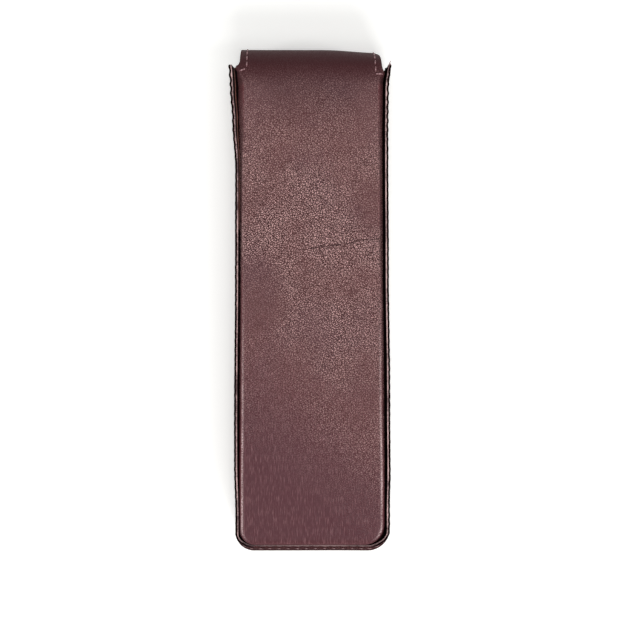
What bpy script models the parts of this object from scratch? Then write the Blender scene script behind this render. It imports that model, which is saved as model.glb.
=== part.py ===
"""Double pen case in leather, lying on its back and closed.

+Y runs to the hinged end, +Z to the flap and +X to the right. The origin is under the
middle, on the face that the case lies on. Everything is in metres.
"""

import math

import bmesh
import bpy
from mathutils import Vector

# Whole case, measured over the leather
CASE_LENGTH = 0.165
CASE_WIDTH = 0.0512
CASE_HEIGHT = 0.025
CORNER_RADIUS = 0.0065

# Leather, boards and what lies between them
PANEL_LEATHER = 0.0012
FRONT_LEATHER = 0.0010
WALL_LEATHER = 0.0008
RIM_LEATHER = 0.0004
LINING = 0.0005
CASE_BOARD = 0.0008
FLAP_BOARD = 0.0014
GLUE_LINE = 0.0002
CLEARANCE = 0.0003

# Side wall: its foot is turned in over the back, its free ends lean out at the mouth
WALL_SETBACK = 0.005
WALL_TOP_DROP = 0.0011
WALL_END_ROUND = 0.0016
WALL_FOOT = 0.0050
LINING_SETBACK = 0.0012
FLARE_OUT = 0.0017
FLARE_LENGTH = 0.022

# Hinge strip, the flap's rounded edge and the pocket's mouth
HINGE_STEP_IN = 0.0007
EDGE_ROUND = 0.0017
INNER_BREAK = 0.0002
SHOULDER_LENGTH = 0.010
SHOULDER_SIDE_RISE = 0.0012
MOUTH_SETBACK = 0.017
THUMB_NOTCH = 0.0085

# Divider between the two pens
DIVIDER_WEB = 0.0012
DIVIDER_FOOT = 0.0050
DIVIDER_FOOT_LEATHER = 0.0005
DIVIDER_SETBACK = 0.009

# Closing magnets, two in the flap's end over two in the pocket's front
MAGNET_DIAMETER = 0.010
MAGNET_HEIGHT = 0.0008
MAGNET_FROM_SIDE = 0.0119
MAGNET_FROM_END = 0.021

# Sewing
STITCH_PITCH = 0.003
THREAD = 0.0004
THREAD_CLEAR = 0.0001
SIDE_STITCH_DROP = 0.0020
BACK_STITCH_INSET = 0.0024
BACK_GROOVE_WIDTH = 0.0009
BACK_GROOVE_DEPTH = 0.0006
BACK_GROOVE_END = 0.0025
HINGE_STITCH_INSET = 0.0021
HINGE_THREAD_END_GAP = 0.0012
HINGE_SEWN_SHARE = 0.5

# Facets: those of the hinge go round its half circle
CORNER_FACETS = 6
HINGE_FACETS = 24
EDGE_FACETS = 3
NOTCH_FACETS = 12
FLARE_FACETS = 5
END_ROUND_SHARES = (0.0, 0.6, 0.9)
MAGNET_FACETS = 32
HINGE_FOLDS = 2
CUT_OVERRUN = 0.001

# Heights of the layers, from the back up and from the flap's face down
BACK_BOARD_Z = PANEL_LEATHER + GLUE_LINE
BACK_LINING_Z = BACK_BOARD_Z + CASE_BOARD + GLUE_LINE
PEN_FLOOR_Z = BACK_LINING_Z + LINING
FLAP_INNER_Z = CASE_HEIGHT - PANEL_LEATHER
FLAP_BOARD_Z = FLAP_INNER_Z - GLUE_LINE - FLAP_BOARD
FLAP_LINING_Z = FLAP_BOARD_Z - GLUE_LINE - LINING
FRONT_TOP_Z = FLAP_LINING_Z - CLEARANCE
FRONT_LEATHER_Z = FRONT_TOP_Z - FRONT_LEATHER
FRONT_BOARD_Z = FRONT_LEATHER_Z - GLUE_LINE - CASE_BOARD
PEN_CEILING_Z = FRONT_BOARD_Z - GLUE_LINE - LINING
WALL_TOP_Z = CASE_HEIGHT - WALL_TOP_DROP
WALL_FOOT_TOP_Z = BACK_BOARD_Z + CASE_BOARD

# Places along the case
BEND = CASE_HEIGHT / 2
TOP_Y = CASE_LENGTH / 2
BEND_Y = TOP_Y - BEND
WALL_END_Y = TOP_Y - WALL_SETBACK
MOUTH_Y = TOP_Y - MOUTH_SETBACK
CORNER_Y = CORNER_RADIUS - CASE_LENGTH / 2
FLARE_START_Y = WALL_END_Y - FLARE_LENGTH
HALF_WIDTH = CASE_WIDTH / 2

# Distances in from the case's outline
LINING_INSET = WALL_LEATHER + GLUE_LINE
RIM_INNER_INSET = LINING_INSET + RIM_LEATHER
FLAP_INSET = RIM_INNER_INSET + CLEARANCE
FLAP_FILL_INSET = FLAP_INSET + PANEL_LEATHER + GLUE_LINE
BACK_BOARD_INSET = WALL_FOOT + CLEARANCE
HALF_HINGE = HALF_WIDTH - FLAP_INSET - HINGE_STEP_IN

# The hinge turns half a circle in equal folds, one about each pivot
FOLD_ANGLE = math.pi / HINGE_FOLDS
PIVOT_ANGLES = [FOLD_ANGLE * (fold + 0.5) for fold in range(HINGE_FOLDS)]
JOINT_GAP_ANGLE = CLEARANCE / BEND


def clear_scene():
    for obj in list(bpy.data.objects):
        bpy.data.objects.remove(obj, do_unlink=True)


def finish(name, base_hex, roughness, metallic=0.0):
    """A plain material of this colour."""
    material = bpy.data.materials.new(name)
    material.use_nodes = True
    channels = [int(base_hex[start : start + 2], 16) / 255 for start in (0, 2, 4)]
    linear = [c / 12.92 if c <= 0.04045 else ((c + 0.055) / 1.055) ** 2.4 for c in channels]
    shader = material.node_tree.nodes["Principled BSDF"]
    shader.inputs["Base Color"].default_value = (*linear, 1)
    shader.inputs["Roughness"].default_value = roughness
    shader.inputs["Metallic"].default_value = metallic
    material.diffuse_color = (*linear, 1)
    return material


class Skin:
    """A closed surface made from named points and the faces between them."""

    def __init__(self):
        self.points = {}
        self.faces = []

    def put(self, key, x, y, z):
        self.points[key] = Vector((x, y, z))

    def face(self, *keys):
        self.faces.append(keys)

    def strip(self, first, second):
        """Quads between two rows of points."""
        for a, b, c, d in zip(first, first[1:], second[1:], second):
            self.face(a, b, c, d)

    def tube(self, rows):
        """Quads round each pair of neighbouring rings."""
        for near, far in zip(rows, rows[1:]):
            self.strip([*near, near[0]], [*far, far[0]])

    def object(self, name, material, pivot=None):
        """The surface as an object, held by a pivot where it moves with one."""
        shape = bmesh.new()
        corners = {key: shape.verts.new(point) for key, point in self.points.items()}
        for keys in self.faces:
            shape.faces.new([corners[key] for key in keys])
        bmesh.ops.recalc_face_normals(shape, faces=shape.faces)
        mesh = bpy.data.meshes.new(name)
        shape.to_mesh(mesh)
        shape.free()
        obj = bpy.data.objects.new(name, mesh)
        bpy.context.scene.collection.objects.link(obj)
        mesh.materials.append(material)
        hang(obj, pivot)
        return obj


def hang(obj, pivot):
    """Puts the object under its pivot, with its shape where it was."""
    if pivot:
        obj.parent = pivot
        bpy.context.view_layer.update()
        obj.location = obj.location - pivot.matrix_world.translation


class Place:
    """A place on the case's outline: where it is and which way is out."""

    def __init__(self, x, y, out_x, out_y):
        self.x = x
        self.y = y
        self.out_x = out_x
        self.out_y = out_y

    def at(self, inset, z=0.0, lean=0.0):
        """The point this far in from the outline, leant out with the wall where asked."""
        out = lean * flare(self.y) * lean_share(z) - inset
        return self.x + self.out_x * out, self.y + self.out_y * out, z


def flare(y):
    """How far the wall's top edge leans out here."""
    past = max(0.0, y - FLARE_START_Y) / FLARE_LENGTH
    return FLARE_OUT * past * past


def lean_share(z):
    """The share of the wall's lean at this height, from none at its foot."""
    return max(0.0, (z - WALL_FOOT_TOP_Z) / (WALL_TOP_Z - WALL_FOOT_TOP_Z))


def outline_length(top):
    """Length of the outline from its right end at this height round to its left end."""
    side = top - CORNER_Y
    return 2 * side + math.pi * CORNER_RADIUS + CASE_WIDTH - 2 * CORNER_RADIUS


def place_along(along, top):
    """The place this far along the outline from its right end."""
    side = top - CORNER_Y
    corner = math.pi * CORNER_RADIUS / 2
    base = CASE_WIDTH - 2 * CORNER_RADIUS
    middle = HALF_WIDTH - CORNER_RADIUS
    if along <= side:
        return Place(HALF_WIDTH, top - along, 1, 0)
    along -= side
    if along <= corner:
        turn = along / CORNER_RADIUS
        right, down = math.cos(turn), -math.sin(turn)
        return Place(middle + CORNER_RADIUS * right, CORNER_Y + CORNER_RADIUS * down, right, down)
    along -= corner
    if along <= base:
        return Place(middle - along, -CASE_LENGTH / 2, 0, -1)
    along -= base
    if along <= corner:
        turn = along / CORNER_RADIUS
        left, down = -math.sin(turn), -math.cos(turn)
        return Place(CORNER_RADIUS * left - middle, CORNER_Y + CORNER_RADIUS * down, left, down)
    return Place(-HALF_WIDTH, CORNER_Y + along - corner, -1, 0)


def outline(top, levels=()):
    """Places round the outline from the right end to the left, with more at these heights."""
    heights = sorted({top, *(level for level in levels if level < top)}, reverse=True)
    corner = math.pi * CORNER_RADIUS / 2
    side = top - CORNER_Y
    turns = [side + corner * step / CORNER_FACETS for step in range(CORNER_FACETS + 1)]
    half = [top - height for height in heights] + turns
    whole = outline_length(top)
    return [place_along(along, top) for along in half + [whole - along for along in reversed(half)]]


def flare_levels(top):
    """Heights where the leaning part of a wall bends, down to where it is straight."""
    reach = top - FLARE_START_Y
    return [top - reach * step / FLARE_FACETS for step in range(FLARE_FACETS + 1)]


def end_drop(y, top, radius):
    """How far a wall's top edge is rounded down near its free end."""
    short = min(radius, max(0.0, y - (top - radius)))
    return radius - math.sqrt(radius * radius - short * short)


def end_levels(top, radius):
    """Heights where that rounding bends."""
    return [top - radius * (1 - share) for share in END_ROUND_SHARES]


def bend_rise(y):
    """How far the hinge's outside has risen off the back here."""
    past = max(0.0, y - BEND_Y)
    return BEND - math.sqrt(BEND * BEND - past * past)


def bend_point(angle, depth):
    """Y and Z on the hinge at this turn from the back, this deep under its outside."""
    radius = BEND - depth
    return BEND_Y + radius * math.sin(angle), BEND - radius * math.cos(angle)


def panel(name, material, inset, low, high, top, pivot=None):
    """A flat piece with the case's outline, set in from it."""
    skin = Skin()
    places = outline(top)
    count = range(len(places))
    for index, place in enumerate(places):
        skin.put(("low", index), *place.at(inset, low))
        skin.put(("high", index), *place.at(inset, high))
    bottom = [("low", index) for index in count]
    upper = [("high", index) for index in count]
    skin.face(*bottom)
    skin.face(*upper)
    skin.strip([*bottom, bottom[0]], [*upper, upper[0]])
    return skin.object(name, material, pivot)


def arc_rows(skin, tag, angles, half_width, outer, inner):
    """Rings of four corners along the hinge, from the right edge's outside round."""
    rows = []
    for index, angle in enumerate(angles):
        row = []
        for corner, side, depth in ((0, 1, outer), (1, -1, outer), (2, -1, inner), (3, 1, inner)):
            y, z = bend_point(angle, depth)
            skin.put((tag, index, corner), side * half_width, y, z)
            row.append((tag, index, corner))
        rows.append(row)
    return rows


def arc_angles(start, end):
    count = max(1, round(HINGE_FACETS * (end - start) / math.pi))
    return [start + (end - start) * step / count for step in range(count + 1)]


def arc_piece(name, material, span, outer, inner, pivot=None):
    """A curved strip of the hinge between two angles."""
    skin = Skin()
    rows = arc_rows(skin, "arc", arc_angles(*span), HALF_HINGE, outer, inner)
    skin.tube(rows)
    skin.face(*rows[0])
    skin.face(*rows[-1])
    return skin.object(name, material, pivot)


def back_leather(material):
    """The back and the start of the hinge in one piece, with a groove for its stitches."""
    skin = Skin()
    places = outline(BEND_Y, [BEND_Y - BACK_GROOVE_END])
    last = len(places) - 1
    groove_inner = BACK_STITCH_INSET + BACK_GROOVE_WIDTH
    for index, place in enumerate(places):
        skin.put(("edge", index), *place.at(0, 0))
        skin.put(("top", index), *place.at(0, PANEL_LEATHER))
        if 0 < index < last:
            skin.put(("outer lip", index), *place.at(BACK_STITCH_INSET, 0))
            skin.put(("outer bed", index), *place.at(BACK_STITCH_INSET, BACK_GROOVE_DEPTH))
            skin.put(("inner bed", index), *place.at(groove_inner, BACK_GROOVE_DEPTH))
            skin.put(("inner lip", index), *place.at(groove_inner, 0))
    inside = range(1, last)
    rings = {
        label: [(label, index) for index in inside]
        for label in ("edge", "outer lip", "outer bed", "inner bed", "inner lip")
    }
    tops = [("top", index) for index in range(last + 1)]
    edges = [("edge", index) for index in range(last + 1)]
    skin.strip(edges, tops)
    skin.strip(rings["edge"], rings["outer lip"])
    skin.strip(rings["outer lip"], rings["outer bed"])
    skin.strip(rings["outer bed"], rings["inner bed"])
    skin.strip(rings["inner bed"], rings["inner lip"])
    for index in (1, last - 1):
        skin.face(
            ("outer lip", index), ("outer bed", index), ("inner bed", index), ("inner lip", index)
        )
    end = PIVOT_ANGLES[0] - JOINT_GAP_ANGLE / 2
    rows = arc_rows(skin, "arc", arc_angles(0, end), HALF_HINGE, 0, PANEL_LEATHER)
    skin.tube(rows)
    skin.face(*rows[-1])
    right_out, left_out, left_in, right_in = rows[0]
    skin.face(*tops, left_in, right_in)
    skin.face(("edge", 0), ("top", 0), right_in, right_out)
    skin.face(("edge", last), ("top", last), left_in, left_out)
    skin.face(
        ("edge", 0),
        ("edge", 1),
        ("outer lip", 1),
        *rings["inner lip"],
        ("outer lip", last - 1),
        ("edge", last - 1),
        ("edge", last),
        left_out,
        right_out,
    )
    return skin.object("back_leather", material)


def side_wall(material):
    """The upright wall round the sides and the lower end, with its foot turned in."""
    skin = Skin()
    levels = [
        *flare_levels(WALL_END_Y),
        *end_levels(WALL_END_Y, WALL_END_ROUND),
        BEND_Y - CLEARANCE,
    ]
    places = outline(WALL_END_Y, levels)
    last = len(places) - 1
    footed = [index for index, place in enumerate(places) if place.y <= BEND_Y - CLEARANCE]
    for index, place in enumerate(places):
        rise = bend_rise(place.y)
        top = WALL_TOP_Z - end_drop(place.y, WALL_END_Y, WALL_END_ROUND)
        foot = BACK_BOARD_Z + rise
        skin.put(("foot out", index), *place.at(0, foot, 1))
        skin.put(("top out", index), *place.at(0, top, 1))
        skin.put(("top in", index), *place.at(WALL_LEATHER, top, 1))
        skin.put(("knee", index), *place.at(WALL_LEATHER, WALL_FOOT_TOP_Z + rise, 1))
        skin.put(("foot in", index), *place.at(WALL_LEATHER, foot, 1))
        if index in footed:
            skin.put(("toe top", index), *place.at(WALL_FOOT, WALL_FOOT_TOP_Z))
            skin.put(("toe", index), *place.at(WALL_FOOT, BACK_BOARD_Z))
    whole = range(last + 1)

    def row(label, indices):
        return [(label, index) for index in indices]

    skin.strip(row("foot out", whole), row("top out", whole))
    skin.strip(row("top out", whole), row("top in", whole))
    skin.strip(row("top in", whole), row("knee", whole))
    skin.strip(row("foot in", whole), row("foot out", whole))
    skin.strip(row("knee", footed), row("toe top", footed))
    skin.strip(row("toe top", footed), row("toe", footed))
    skin.strip(row("toe", footed), row("foot in", footed))
    for free in (range(footed[0] + 1), range(footed[-1], last + 1)):
        skin.strip(row("knee", free), row("foot in", free))
    for index in (footed[0], footed[-1]):
        skin.face(("knee", index), ("toe top", index), ("toe", index), ("foot in", index))
    for index in (0, last):
        skin.face(*((label, index) for label in ("foot out", "top out", "top in", "knee", "foot in")))
    return skin.object("side_wall", material)


def wall_lining(material):
    """The lining strip inside the wall, between the pocket's floor and front."""
    skin = Skin()
    end = WALL_END_Y - LINING_SETBACK
    places = outline(end, flare_levels(WALL_END_Y))
    rows = []
    high = PEN_CEILING_Z - GLUE_LINE
    for index, place in enumerate(places):
        low = PEN_FLOOR_Z + GLUE_LINE + bend_rise(place.y)
        corners = ((LINING_INSET, low), (LINING_INSET, high))
        corners += ((LINING_INSET + LINING, high), (LINING_INSET + LINING, low))
        for corner, (inset, z) in enumerate(corners):
            skin.put((corner, index), *place.at(inset, z, 1))
        rows.append([(corner, index) for corner in range(4)])
    skin.tube(rows)
    skin.face(*rows[0])
    skin.face(*rows[-1])
    return skin.object("side_wall_lining", material)


def pocket_front(material):
    """The pocket's front: a flat floor under the flap, its rim turned up along the wall."""
    skin = Skin()
    end = WALL_END_Y - LINING_SETBACK
    levels = [*flare_levels(WALL_END_Y), *end_levels(end, WALL_END_ROUND), MOUTH_Y]
    places = outline(end, levels)
    last = len(places) - 1
    floored = [index for index, place in enumerate(places) if place.y <= MOUTH_Y]
    for index, place in enumerate(places):
        top = WALL_TOP_Z - GLUE_LINE - end_drop(place.y, end, WALL_END_ROUND)
        skin.put(("under out", index), *place.at(LINING_INSET, FRONT_LEATHER_Z, 1))
        skin.put(("top out", index), *place.at(LINING_INSET, top, 1))
        skin.put(("top in", index), *place.at(RIM_INNER_INSET, top, 1))
        skin.put(("floor", index), *place.at(RIM_INNER_INSET, FRONT_TOP_Z, 1))
        skin.put(("under in", index), *place.at(RIM_INNER_INSET, FRONT_LEATHER_Z, 1))
    whole = range(last + 1)

    def row(label, indices):
        return [(label, index) for index in indices]

    skin.strip(row("under out", whole), row("top out", whole))
    skin.strip(row("top out", whole), row("top in", whole))
    skin.strip(row("top in", whole), row("floor", whole))
    skin.strip(row("under in", whole), row("under out", whole))
    for free in (range(floored[0] + 1), range(floored[-1], last + 1)):
        skin.strip(row("floor", free), row("under in", free))
    notch = []
    for step in range(NOTCH_FACETS + 1):
        turn = math.pi * step / NOTCH_FACETS
        x = -THUMB_NOTCH * math.cos(turn)
        y = MOUTH_Y - THUMB_NOTCH * math.sin(turn)
        skin.put(("notch floor", step), x, y, FRONT_TOP_Z)
        skin.put(("notch under", step), x, y, FRONT_LEATHER_Z)
        notch.append(step)
    skin.face(*row("floor", floored), *(("notch floor", step) for step in notch))
    skin.face(*row("under in", floored), *(("notch under", step) for step in notch))
    skin.strip(
        [("floor", floored[-1]), *row("notch floor", notch), ("floor", floored[0])],
        [("under in", floored[-1]), *row("notch under", notch), ("under in", floored[0])],
    )
    labels = ("under out", "top out", "top in", "floor", "under in")
    for index in (0, last):
        skin.face(*((label, index) for label in labels))
    return skin.object("pocket_front", material)


def flap_leather(material, pivot):
    """The flap's moulded leather: a flat face, rounded edges, sides turned down, and the
    end of the hinge strip."""
    skin = Skin()
    shoulder = BEND_Y - SHOULDER_LENGTH
    places = outline(BEND_Y, [shoulder, (BEND_Y + shoulder) / 2])
    last = len(places) - 1
    for index, place in enumerate(places):
        toward = max(0.0, place.y - shoulder) / SHOULDER_LENGTH
        radius = EDGE_ROUND + (HINGE_STEP_IN - EDGE_ROUND) * toward
        inner = PANEL_LEATHER + INNER_BREAK
        side_low = FLAP_LINING_Z + SHOULDER_SIDE_RISE * toward
        skin.put(("side low", index), *place.at(FLAP_INSET, side_low))
        for step in range(EDGE_FACETS + 1):
            turn = math.pi / 2 * step / EDGE_FACETS
            inset = FLAP_INSET + radius * (1 - math.cos(turn))
            z = CASE_HEIGHT - radius * (1 - math.sin(turn))
            skin.put((("edge", step), index), *place.at(inset, z))
        skin.put(("face in", index), *place.at(FLAP_INSET + inner, FLAP_INNER_Z))
        skin.put(
            ("side in", index), *place.at(FLAP_INSET + PANEL_LEATHER, CASE_HEIGHT - inner)
        )
        skin.put(("side low in", index), *place.at(FLAP_INSET + PANEL_LEATHER, side_low))
    edge = [("edge", step) for step in range(EDGE_FACETS + 1)]
    labels = ["side low", *edge, "face in", "side in", "side low in"]
    whole = range(last + 1)
    rows = {label: [(label, index) for index in whole] for label in labels}
    for label, following in zip(labels, [*labels[1:], labels[0]]):
        if label != edge[-1]:
            skin.strip(rows[label], rows[following])
    start = PIVOT_ANGLES[-1] + JOINT_GAP_ANGLE / 2
    arc = arc_rows(skin, "arc", arc_angles(start, math.pi)[:-1], HALF_HINGE, 0, PANEL_LEATHER)
    skin.tube(arc)
    skin.face(*arc[0])
    right_out, left_out, left_in, right_in = arc[-1]
    root_right = (edge[-1], 0)
    root_left = (edge[-1], last)
    for side, key in ((1, "root right"), (-1, "root left")):
        skin.put(key, side * HALF_HINGE, BEND_Y, FLAP_INNER_Z)
    skin.face(right_out, left_out, root_left, root_right)
    skin.face(right_out, right_in, "root right", root_right)
    skin.face(left_out, left_in, "root left", root_left)
    skin.face(
        right_in, left_in, "root left", ("face in", last), ("face in", 0), "root right"
    )
    skin.face(*rows[edge[-1]])
    skin.face(*rows["face in"])
    for index, root in ((0, "root right"), (last, "root left")):
        skin.face(
            ("side low", index),
            *((label, index) for label in edge),
            root,
            ("face in", index),
            ("side in", index),
            ("side low in", index),
        )
    return skin.object("flap_leather", material, pivot)


def divider(material):
    """The upright between the pens, with a foot glued to the back and one to the front."""
    low = PEN_FLOOR_Z + GLUE_LINE
    high = PEN_CEILING_Z - GLUE_LINE
    foot = DIVIDER_FOOT / 2
    web = DIVIDER_WEB / 2
    low_step = low + DIVIDER_FOOT_LEATHER
    high_step = high - DIVIDER_FOOT_LEATHER
    section = [(foot, low), (foot, low_step), (web, low_step), (web, high_step)]
    section += [(foot, high_step), (foot, high)]
    section += [(-x, z) for x, z in reversed(section)]
    base = LINING_INSET + LINING + CLEARANCE - CASE_LENGTH / 2
    skin = Skin()
    rows = []
    for index, y in enumerate((base, MOUTH_Y - DIVIDER_SETBACK)):
        for corner, (x, z) in enumerate(section):
            skin.put((index, corner), x, y, z)
        rows.append([(index, corner) for corner in range(len(section))])
    skin.tube(rows)
    skin.face(*rows[0])
    skin.face(*rows[1])
    return skin.object("pen_divider", material)


def disc(name, material, x, y, low, high, radius, pivot=None):
    """A flat round piece."""
    skin = Skin()
    rows = []
    for index, z in enumerate((low, high)):
        for step in range(MAGNET_FACETS):
            turn = 2 * math.pi * step / MAGNET_FACETS
            skin.put((index, step), x + radius * math.cos(turn), y + radius * math.sin(turn), z)
        rows.append([(index, step) for step in range(MAGNET_FACETS)])
    skin.tube(rows)
    skin.face(*rows[0])
    skin.face(*rows[1])
    return skin.object(name, material, pivot)


def magnet_places():
    """The name and middle of each of a pair of magnets."""
    x = HALF_WIDTH - FLAP_INSET - MAGNET_FROM_SIDE
    y = FLAP_INSET - CASE_LENGTH / 2 + MAGNET_FROM_END
    return [("left", -x, y), ("right", x, y)]


def add_magnets(prefix, material, board, low, pivot=None):
    """Seats a pair of magnets in round holes through their board."""
    for side, x, y in magnet_places():
        radius = MAGNET_DIAMETER / 2
        disc(f"{prefix}_magnet_{side}", material, x, y, low, low + MAGNET_HEIGHT, radius, pivot)
        cutter = disc(
            f"{prefix}_magnet_hole_{side}",
            material,
            x,
            y,
            low - CUT_OVERRUN,
            low + FLAP_BOARD + CUT_OVERRUN,
            radius + GLUE_LINE,
            pivot,
        )
        cutter.hide_render = True
        cutter.display_type = "WIRE"
        cut = board.modifiers.new(f"magnet hole {side}", "BOOLEAN")
        cut.operation = "DIFFERENCE"
        cut.object = cutter


def thread(name, material, places, pivot=None):
    """A four-sided thread through these places: each is a middle, an outward direction
    and a sideways direction."""
    skin = Skin()
    radius = THREAD / 2
    rows = []
    for index, (middle, out, side) in enumerate(places):
        row = []
        for corner, offset in enumerate((out, side, -out, -side)):
            skin.put((index, corner), *(middle + offset * radius))
            row.append((index, corner))
        rows.append(row)
    skin.tube(rows)
    skin.face(*rows[0])
    skin.face(*rows[-1])
    return skin.object(name, material, pivot)


def stitch_count(length):
    """How many half stitches fit a seam of this length."""
    return 2 * max(1, round(length / STITCH_PITCH))


def side_seam_thread(material):
    """Sewing through the wall and the pocket's rim, under their top edge."""
    start = WALL_END_ROUND + STITCH_PITCH / 2
    length = outline_length(WALL_END_Y) - 2 * start
    count = stitch_count(length)
    z = WALL_TOP_Z - SIDE_STITCH_DROP
    places = []
    for step in range(count + 1):
        place = place_along(start + length * step / count, WALL_END_Y)
        proud = THREAD_CLEAR + THREAD / 2 + (GLUE_LINE if step % 2 else 0)
        middle = Vector(place.at(-proud, z, 1))
        places.append((middle, Vector((place.out_x, place.out_y, 0)), Vector((0, 0, 1))))
    return thread("side_seam_thread", material, places)


def back_seam_thread(material):
    """Sewing through the back and the wall's foot, down in its groove."""
    start = BACK_GROOVE_END + STITCH_PITCH / 2
    length = outline_length(BEND_Y) - 2 * start
    count = stitch_count(length)
    inset = BACK_STITCH_INSET + BACK_GROOVE_WIDTH / 2
    low = THREAD / 2
    high = BACK_GROOVE_DEPTH - THREAD_CLEAR / 2 - THREAD / 2
    places = []
    for step in range(count + 1):
        place = place_along(start + length * step / count, BEND_Y)
        middle = Vector(place.at(inset, low if step % 2 else high))
        places.append((middle, Vector((0, 0, -1)), Vector((place.out_x, place.out_y, 0))))
    return thread("back_seam_thread", material, places)


def hinge_thread(name, material, span, side, pivot):
    """Edge sewing along one side of this stretch of the hinge."""
    start, end = span
    margin = HINGE_THREAD_END_GAP / BEND
    start, end = start + margin, end - margin
    count = stitch_count((end - start) * BEND)
    x = side * (HALF_HINGE - HINGE_STITCH_INSET)
    places = []
    for step in range(count + 1):
        angle = start + (end - start) * step / count
        proud = 2 * THREAD_CLEAR + THREAD / 2 + (THREAD_CLEAR if step % 2 else 0)
        y, z = bend_point(angle, -proud)
        out = Vector((0, math.sin(angle), -math.cos(angle)))
        places.append((Vector((x, y, z)), out, Vector((1, 0, 0))))
    return thread(name, material, places, pivot)


def add_pivots():
    """An empty on each of the hinge's axes, each held by the one before it."""
    pivots = []
    for index, angle in enumerate(PIVOT_ANGLES):
        y, z = bend_point(angle, 0)
        pivot = bpy.data.objects.new(f"hinge_axis_{index + 1}", None)
        bpy.context.scene.collection.objects.link(pivot)
        pivot.empty_display_size = BEND
        pivot.location = (0, y, z)
        if pivots:
            hang(pivot, pivots[-1])
        bpy.context.view_layer.update()
        pivots.append(pivot)
    return pivots


def add_case(finishes):
    """Everything that stays with the back."""
    back_leather(finishes["leather"])
    panel(
        "back_board",
        finishes["board"],
        BACK_BOARD_INSET,
        BACK_BOARD_Z,
        BACK_BOARD_Z + CASE_BOARD,
        BEND_Y - CLEARANCE,
    )
    panel("back_lining", finishes["lining"], LINING_INSET, BACK_LINING_Z, PEN_FLOOR_Z, BEND_Y)
    side_wall(finishes["leather"])
    wall_lining(finishes["lining"])
    pocket_front(finishes["leather"])
    top = MOUTH_Y - THUMB_NOTCH - CLEARANCE
    pocket_board = panel(
        "pocket_board",
        finishes["board"],
        LINING_INSET,
        FRONT_BOARD_Z,
        FRONT_BOARD_Z + CASE_BOARD,
        top,
    )
    add_magnets("pocket", finishes["magnet"], pocket_board, FRONT_BOARD_Z)
    panel(
        "pocket_lining",
        finishes["lining"],
        LINING_INSET,
        PEN_CEILING_Z,
        PEN_CEILING_Z + LINING,
        top,
    )
    divider(finishes["lining"])
    side_seam_thread(finishes["thread"])
    back_seam_thread(finishes["thread"])


def add_hinge(finishes, pivots):
    """The strip of leather over the hinged end, with its lining and its edge sewing."""
    lining_outer = PANEL_LEATHER + GLUE_LINE
    lining_inner = lining_outer + LINING
    gap = JOINT_GAP_ANGLE / 2
    back_fold, flap_fold = PIVOT_ANGLES
    spine_pivot, flap_pivot = pivots
    spine = (back_fold + gap, flap_fold - gap)
    sewn = back_fold * HINGE_SEWN_SHARE
    arc_piece("hinge_leather", finishes["leather"], spine, 0, PANEL_LEATHER, spine_pivot)
    stretches = [
        ("_back", (gap, back_fold - gap), (back_fold - sewn, back_fold - gap), None),
        ("", spine, spine, spine_pivot),
        ("_flap", (flap_fold + gap, math.pi - gap), (flap_fold + gap, flap_fold + sewn), flap_pivot),
    ]
    for part, span, seam, pivot in stretches:
        arc_piece(f"hinge_lining{part}", finishes["lining"], span, lining_outer, lining_inner, pivot)
        for side, sign in (("left", -1), ("right", 1)):
            hinge_thread(f"hinge_thread_{side}{part}", finishes["thread"], seam, sign, pivot)


def add_flap(finishes, pivot):
    """The stiff flap that lies over the pocket, inside the wall's edge."""
    flap_leather(finishes["leather"], pivot)
    end = BEND_Y - CLEARANCE
    board = panel(
        "flap_board",
        finishes["board"],
        FLAP_FILL_INSET,
        FLAP_BOARD_Z,
        FLAP_BOARD_Z + FLAP_BOARD,
        end,
        pivot,
    )
    add_magnets("flap", finishes["magnet"], board, FLAP_BOARD_Z, pivot)
    panel(
        "flap_lining",
        finishes["lining"],
        FLAP_FILL_INSET,
        FLAP_LINING_Z,
        FLAP_LINING_Z + LINING,
        end,
        pivot,
    )


def main():
    clear_scene()
    finishes = {
        "leather": finish("burgundy leather", "7A5052", 0.5),
        "lining": finish("brown lining suede", "5A4038", 0.9),
        "board": finish("grey board", "8C867C", 0.85),
        "thread": finish("rose thread", "B98A90", 0.6),
        "magnet": finish("nickel magnet", "B8B8BA", 0.3, 1.0),
    }
    pivots = add_pivots()
    add_case(finishes)
    add_hinge(finishes, pivots)
    add_flap(finishes, pivots[-1])


main()
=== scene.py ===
"""Looks of the double pen case: leather, sewing, linings, floor, light and camera.

The case lies on its back, closed. +Y runs to the hinged end and +Z up through the flap.
Leather is laid out flat first, as a maker cuts it: X across, S along, and a depth under
its face. A second step lifts it to its place, round the hinged end where S passes the
flat. Everything is in metres. A side is 1 on the right and -1 on the left.
"""

import math

import bmesh
import bpy
from mathutils import Matrix, Vector, noise


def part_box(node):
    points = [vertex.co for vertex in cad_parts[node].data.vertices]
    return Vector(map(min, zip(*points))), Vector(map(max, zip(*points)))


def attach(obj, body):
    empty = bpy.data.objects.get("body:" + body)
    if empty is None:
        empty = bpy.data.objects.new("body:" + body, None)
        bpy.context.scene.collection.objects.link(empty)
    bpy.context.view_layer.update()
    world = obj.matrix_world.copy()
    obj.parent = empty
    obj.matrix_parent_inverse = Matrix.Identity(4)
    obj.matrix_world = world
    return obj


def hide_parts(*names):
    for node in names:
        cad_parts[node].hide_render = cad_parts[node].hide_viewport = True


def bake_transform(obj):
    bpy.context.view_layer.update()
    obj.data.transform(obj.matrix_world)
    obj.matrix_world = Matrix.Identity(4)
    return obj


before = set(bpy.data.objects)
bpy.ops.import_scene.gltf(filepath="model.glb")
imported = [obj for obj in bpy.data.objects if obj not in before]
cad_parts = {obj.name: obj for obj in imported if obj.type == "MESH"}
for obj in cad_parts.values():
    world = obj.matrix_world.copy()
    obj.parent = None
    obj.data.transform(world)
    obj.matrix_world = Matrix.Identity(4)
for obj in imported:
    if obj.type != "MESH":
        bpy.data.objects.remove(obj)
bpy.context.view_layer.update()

# Whole case
CASE_LENGTH = 0.165
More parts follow.
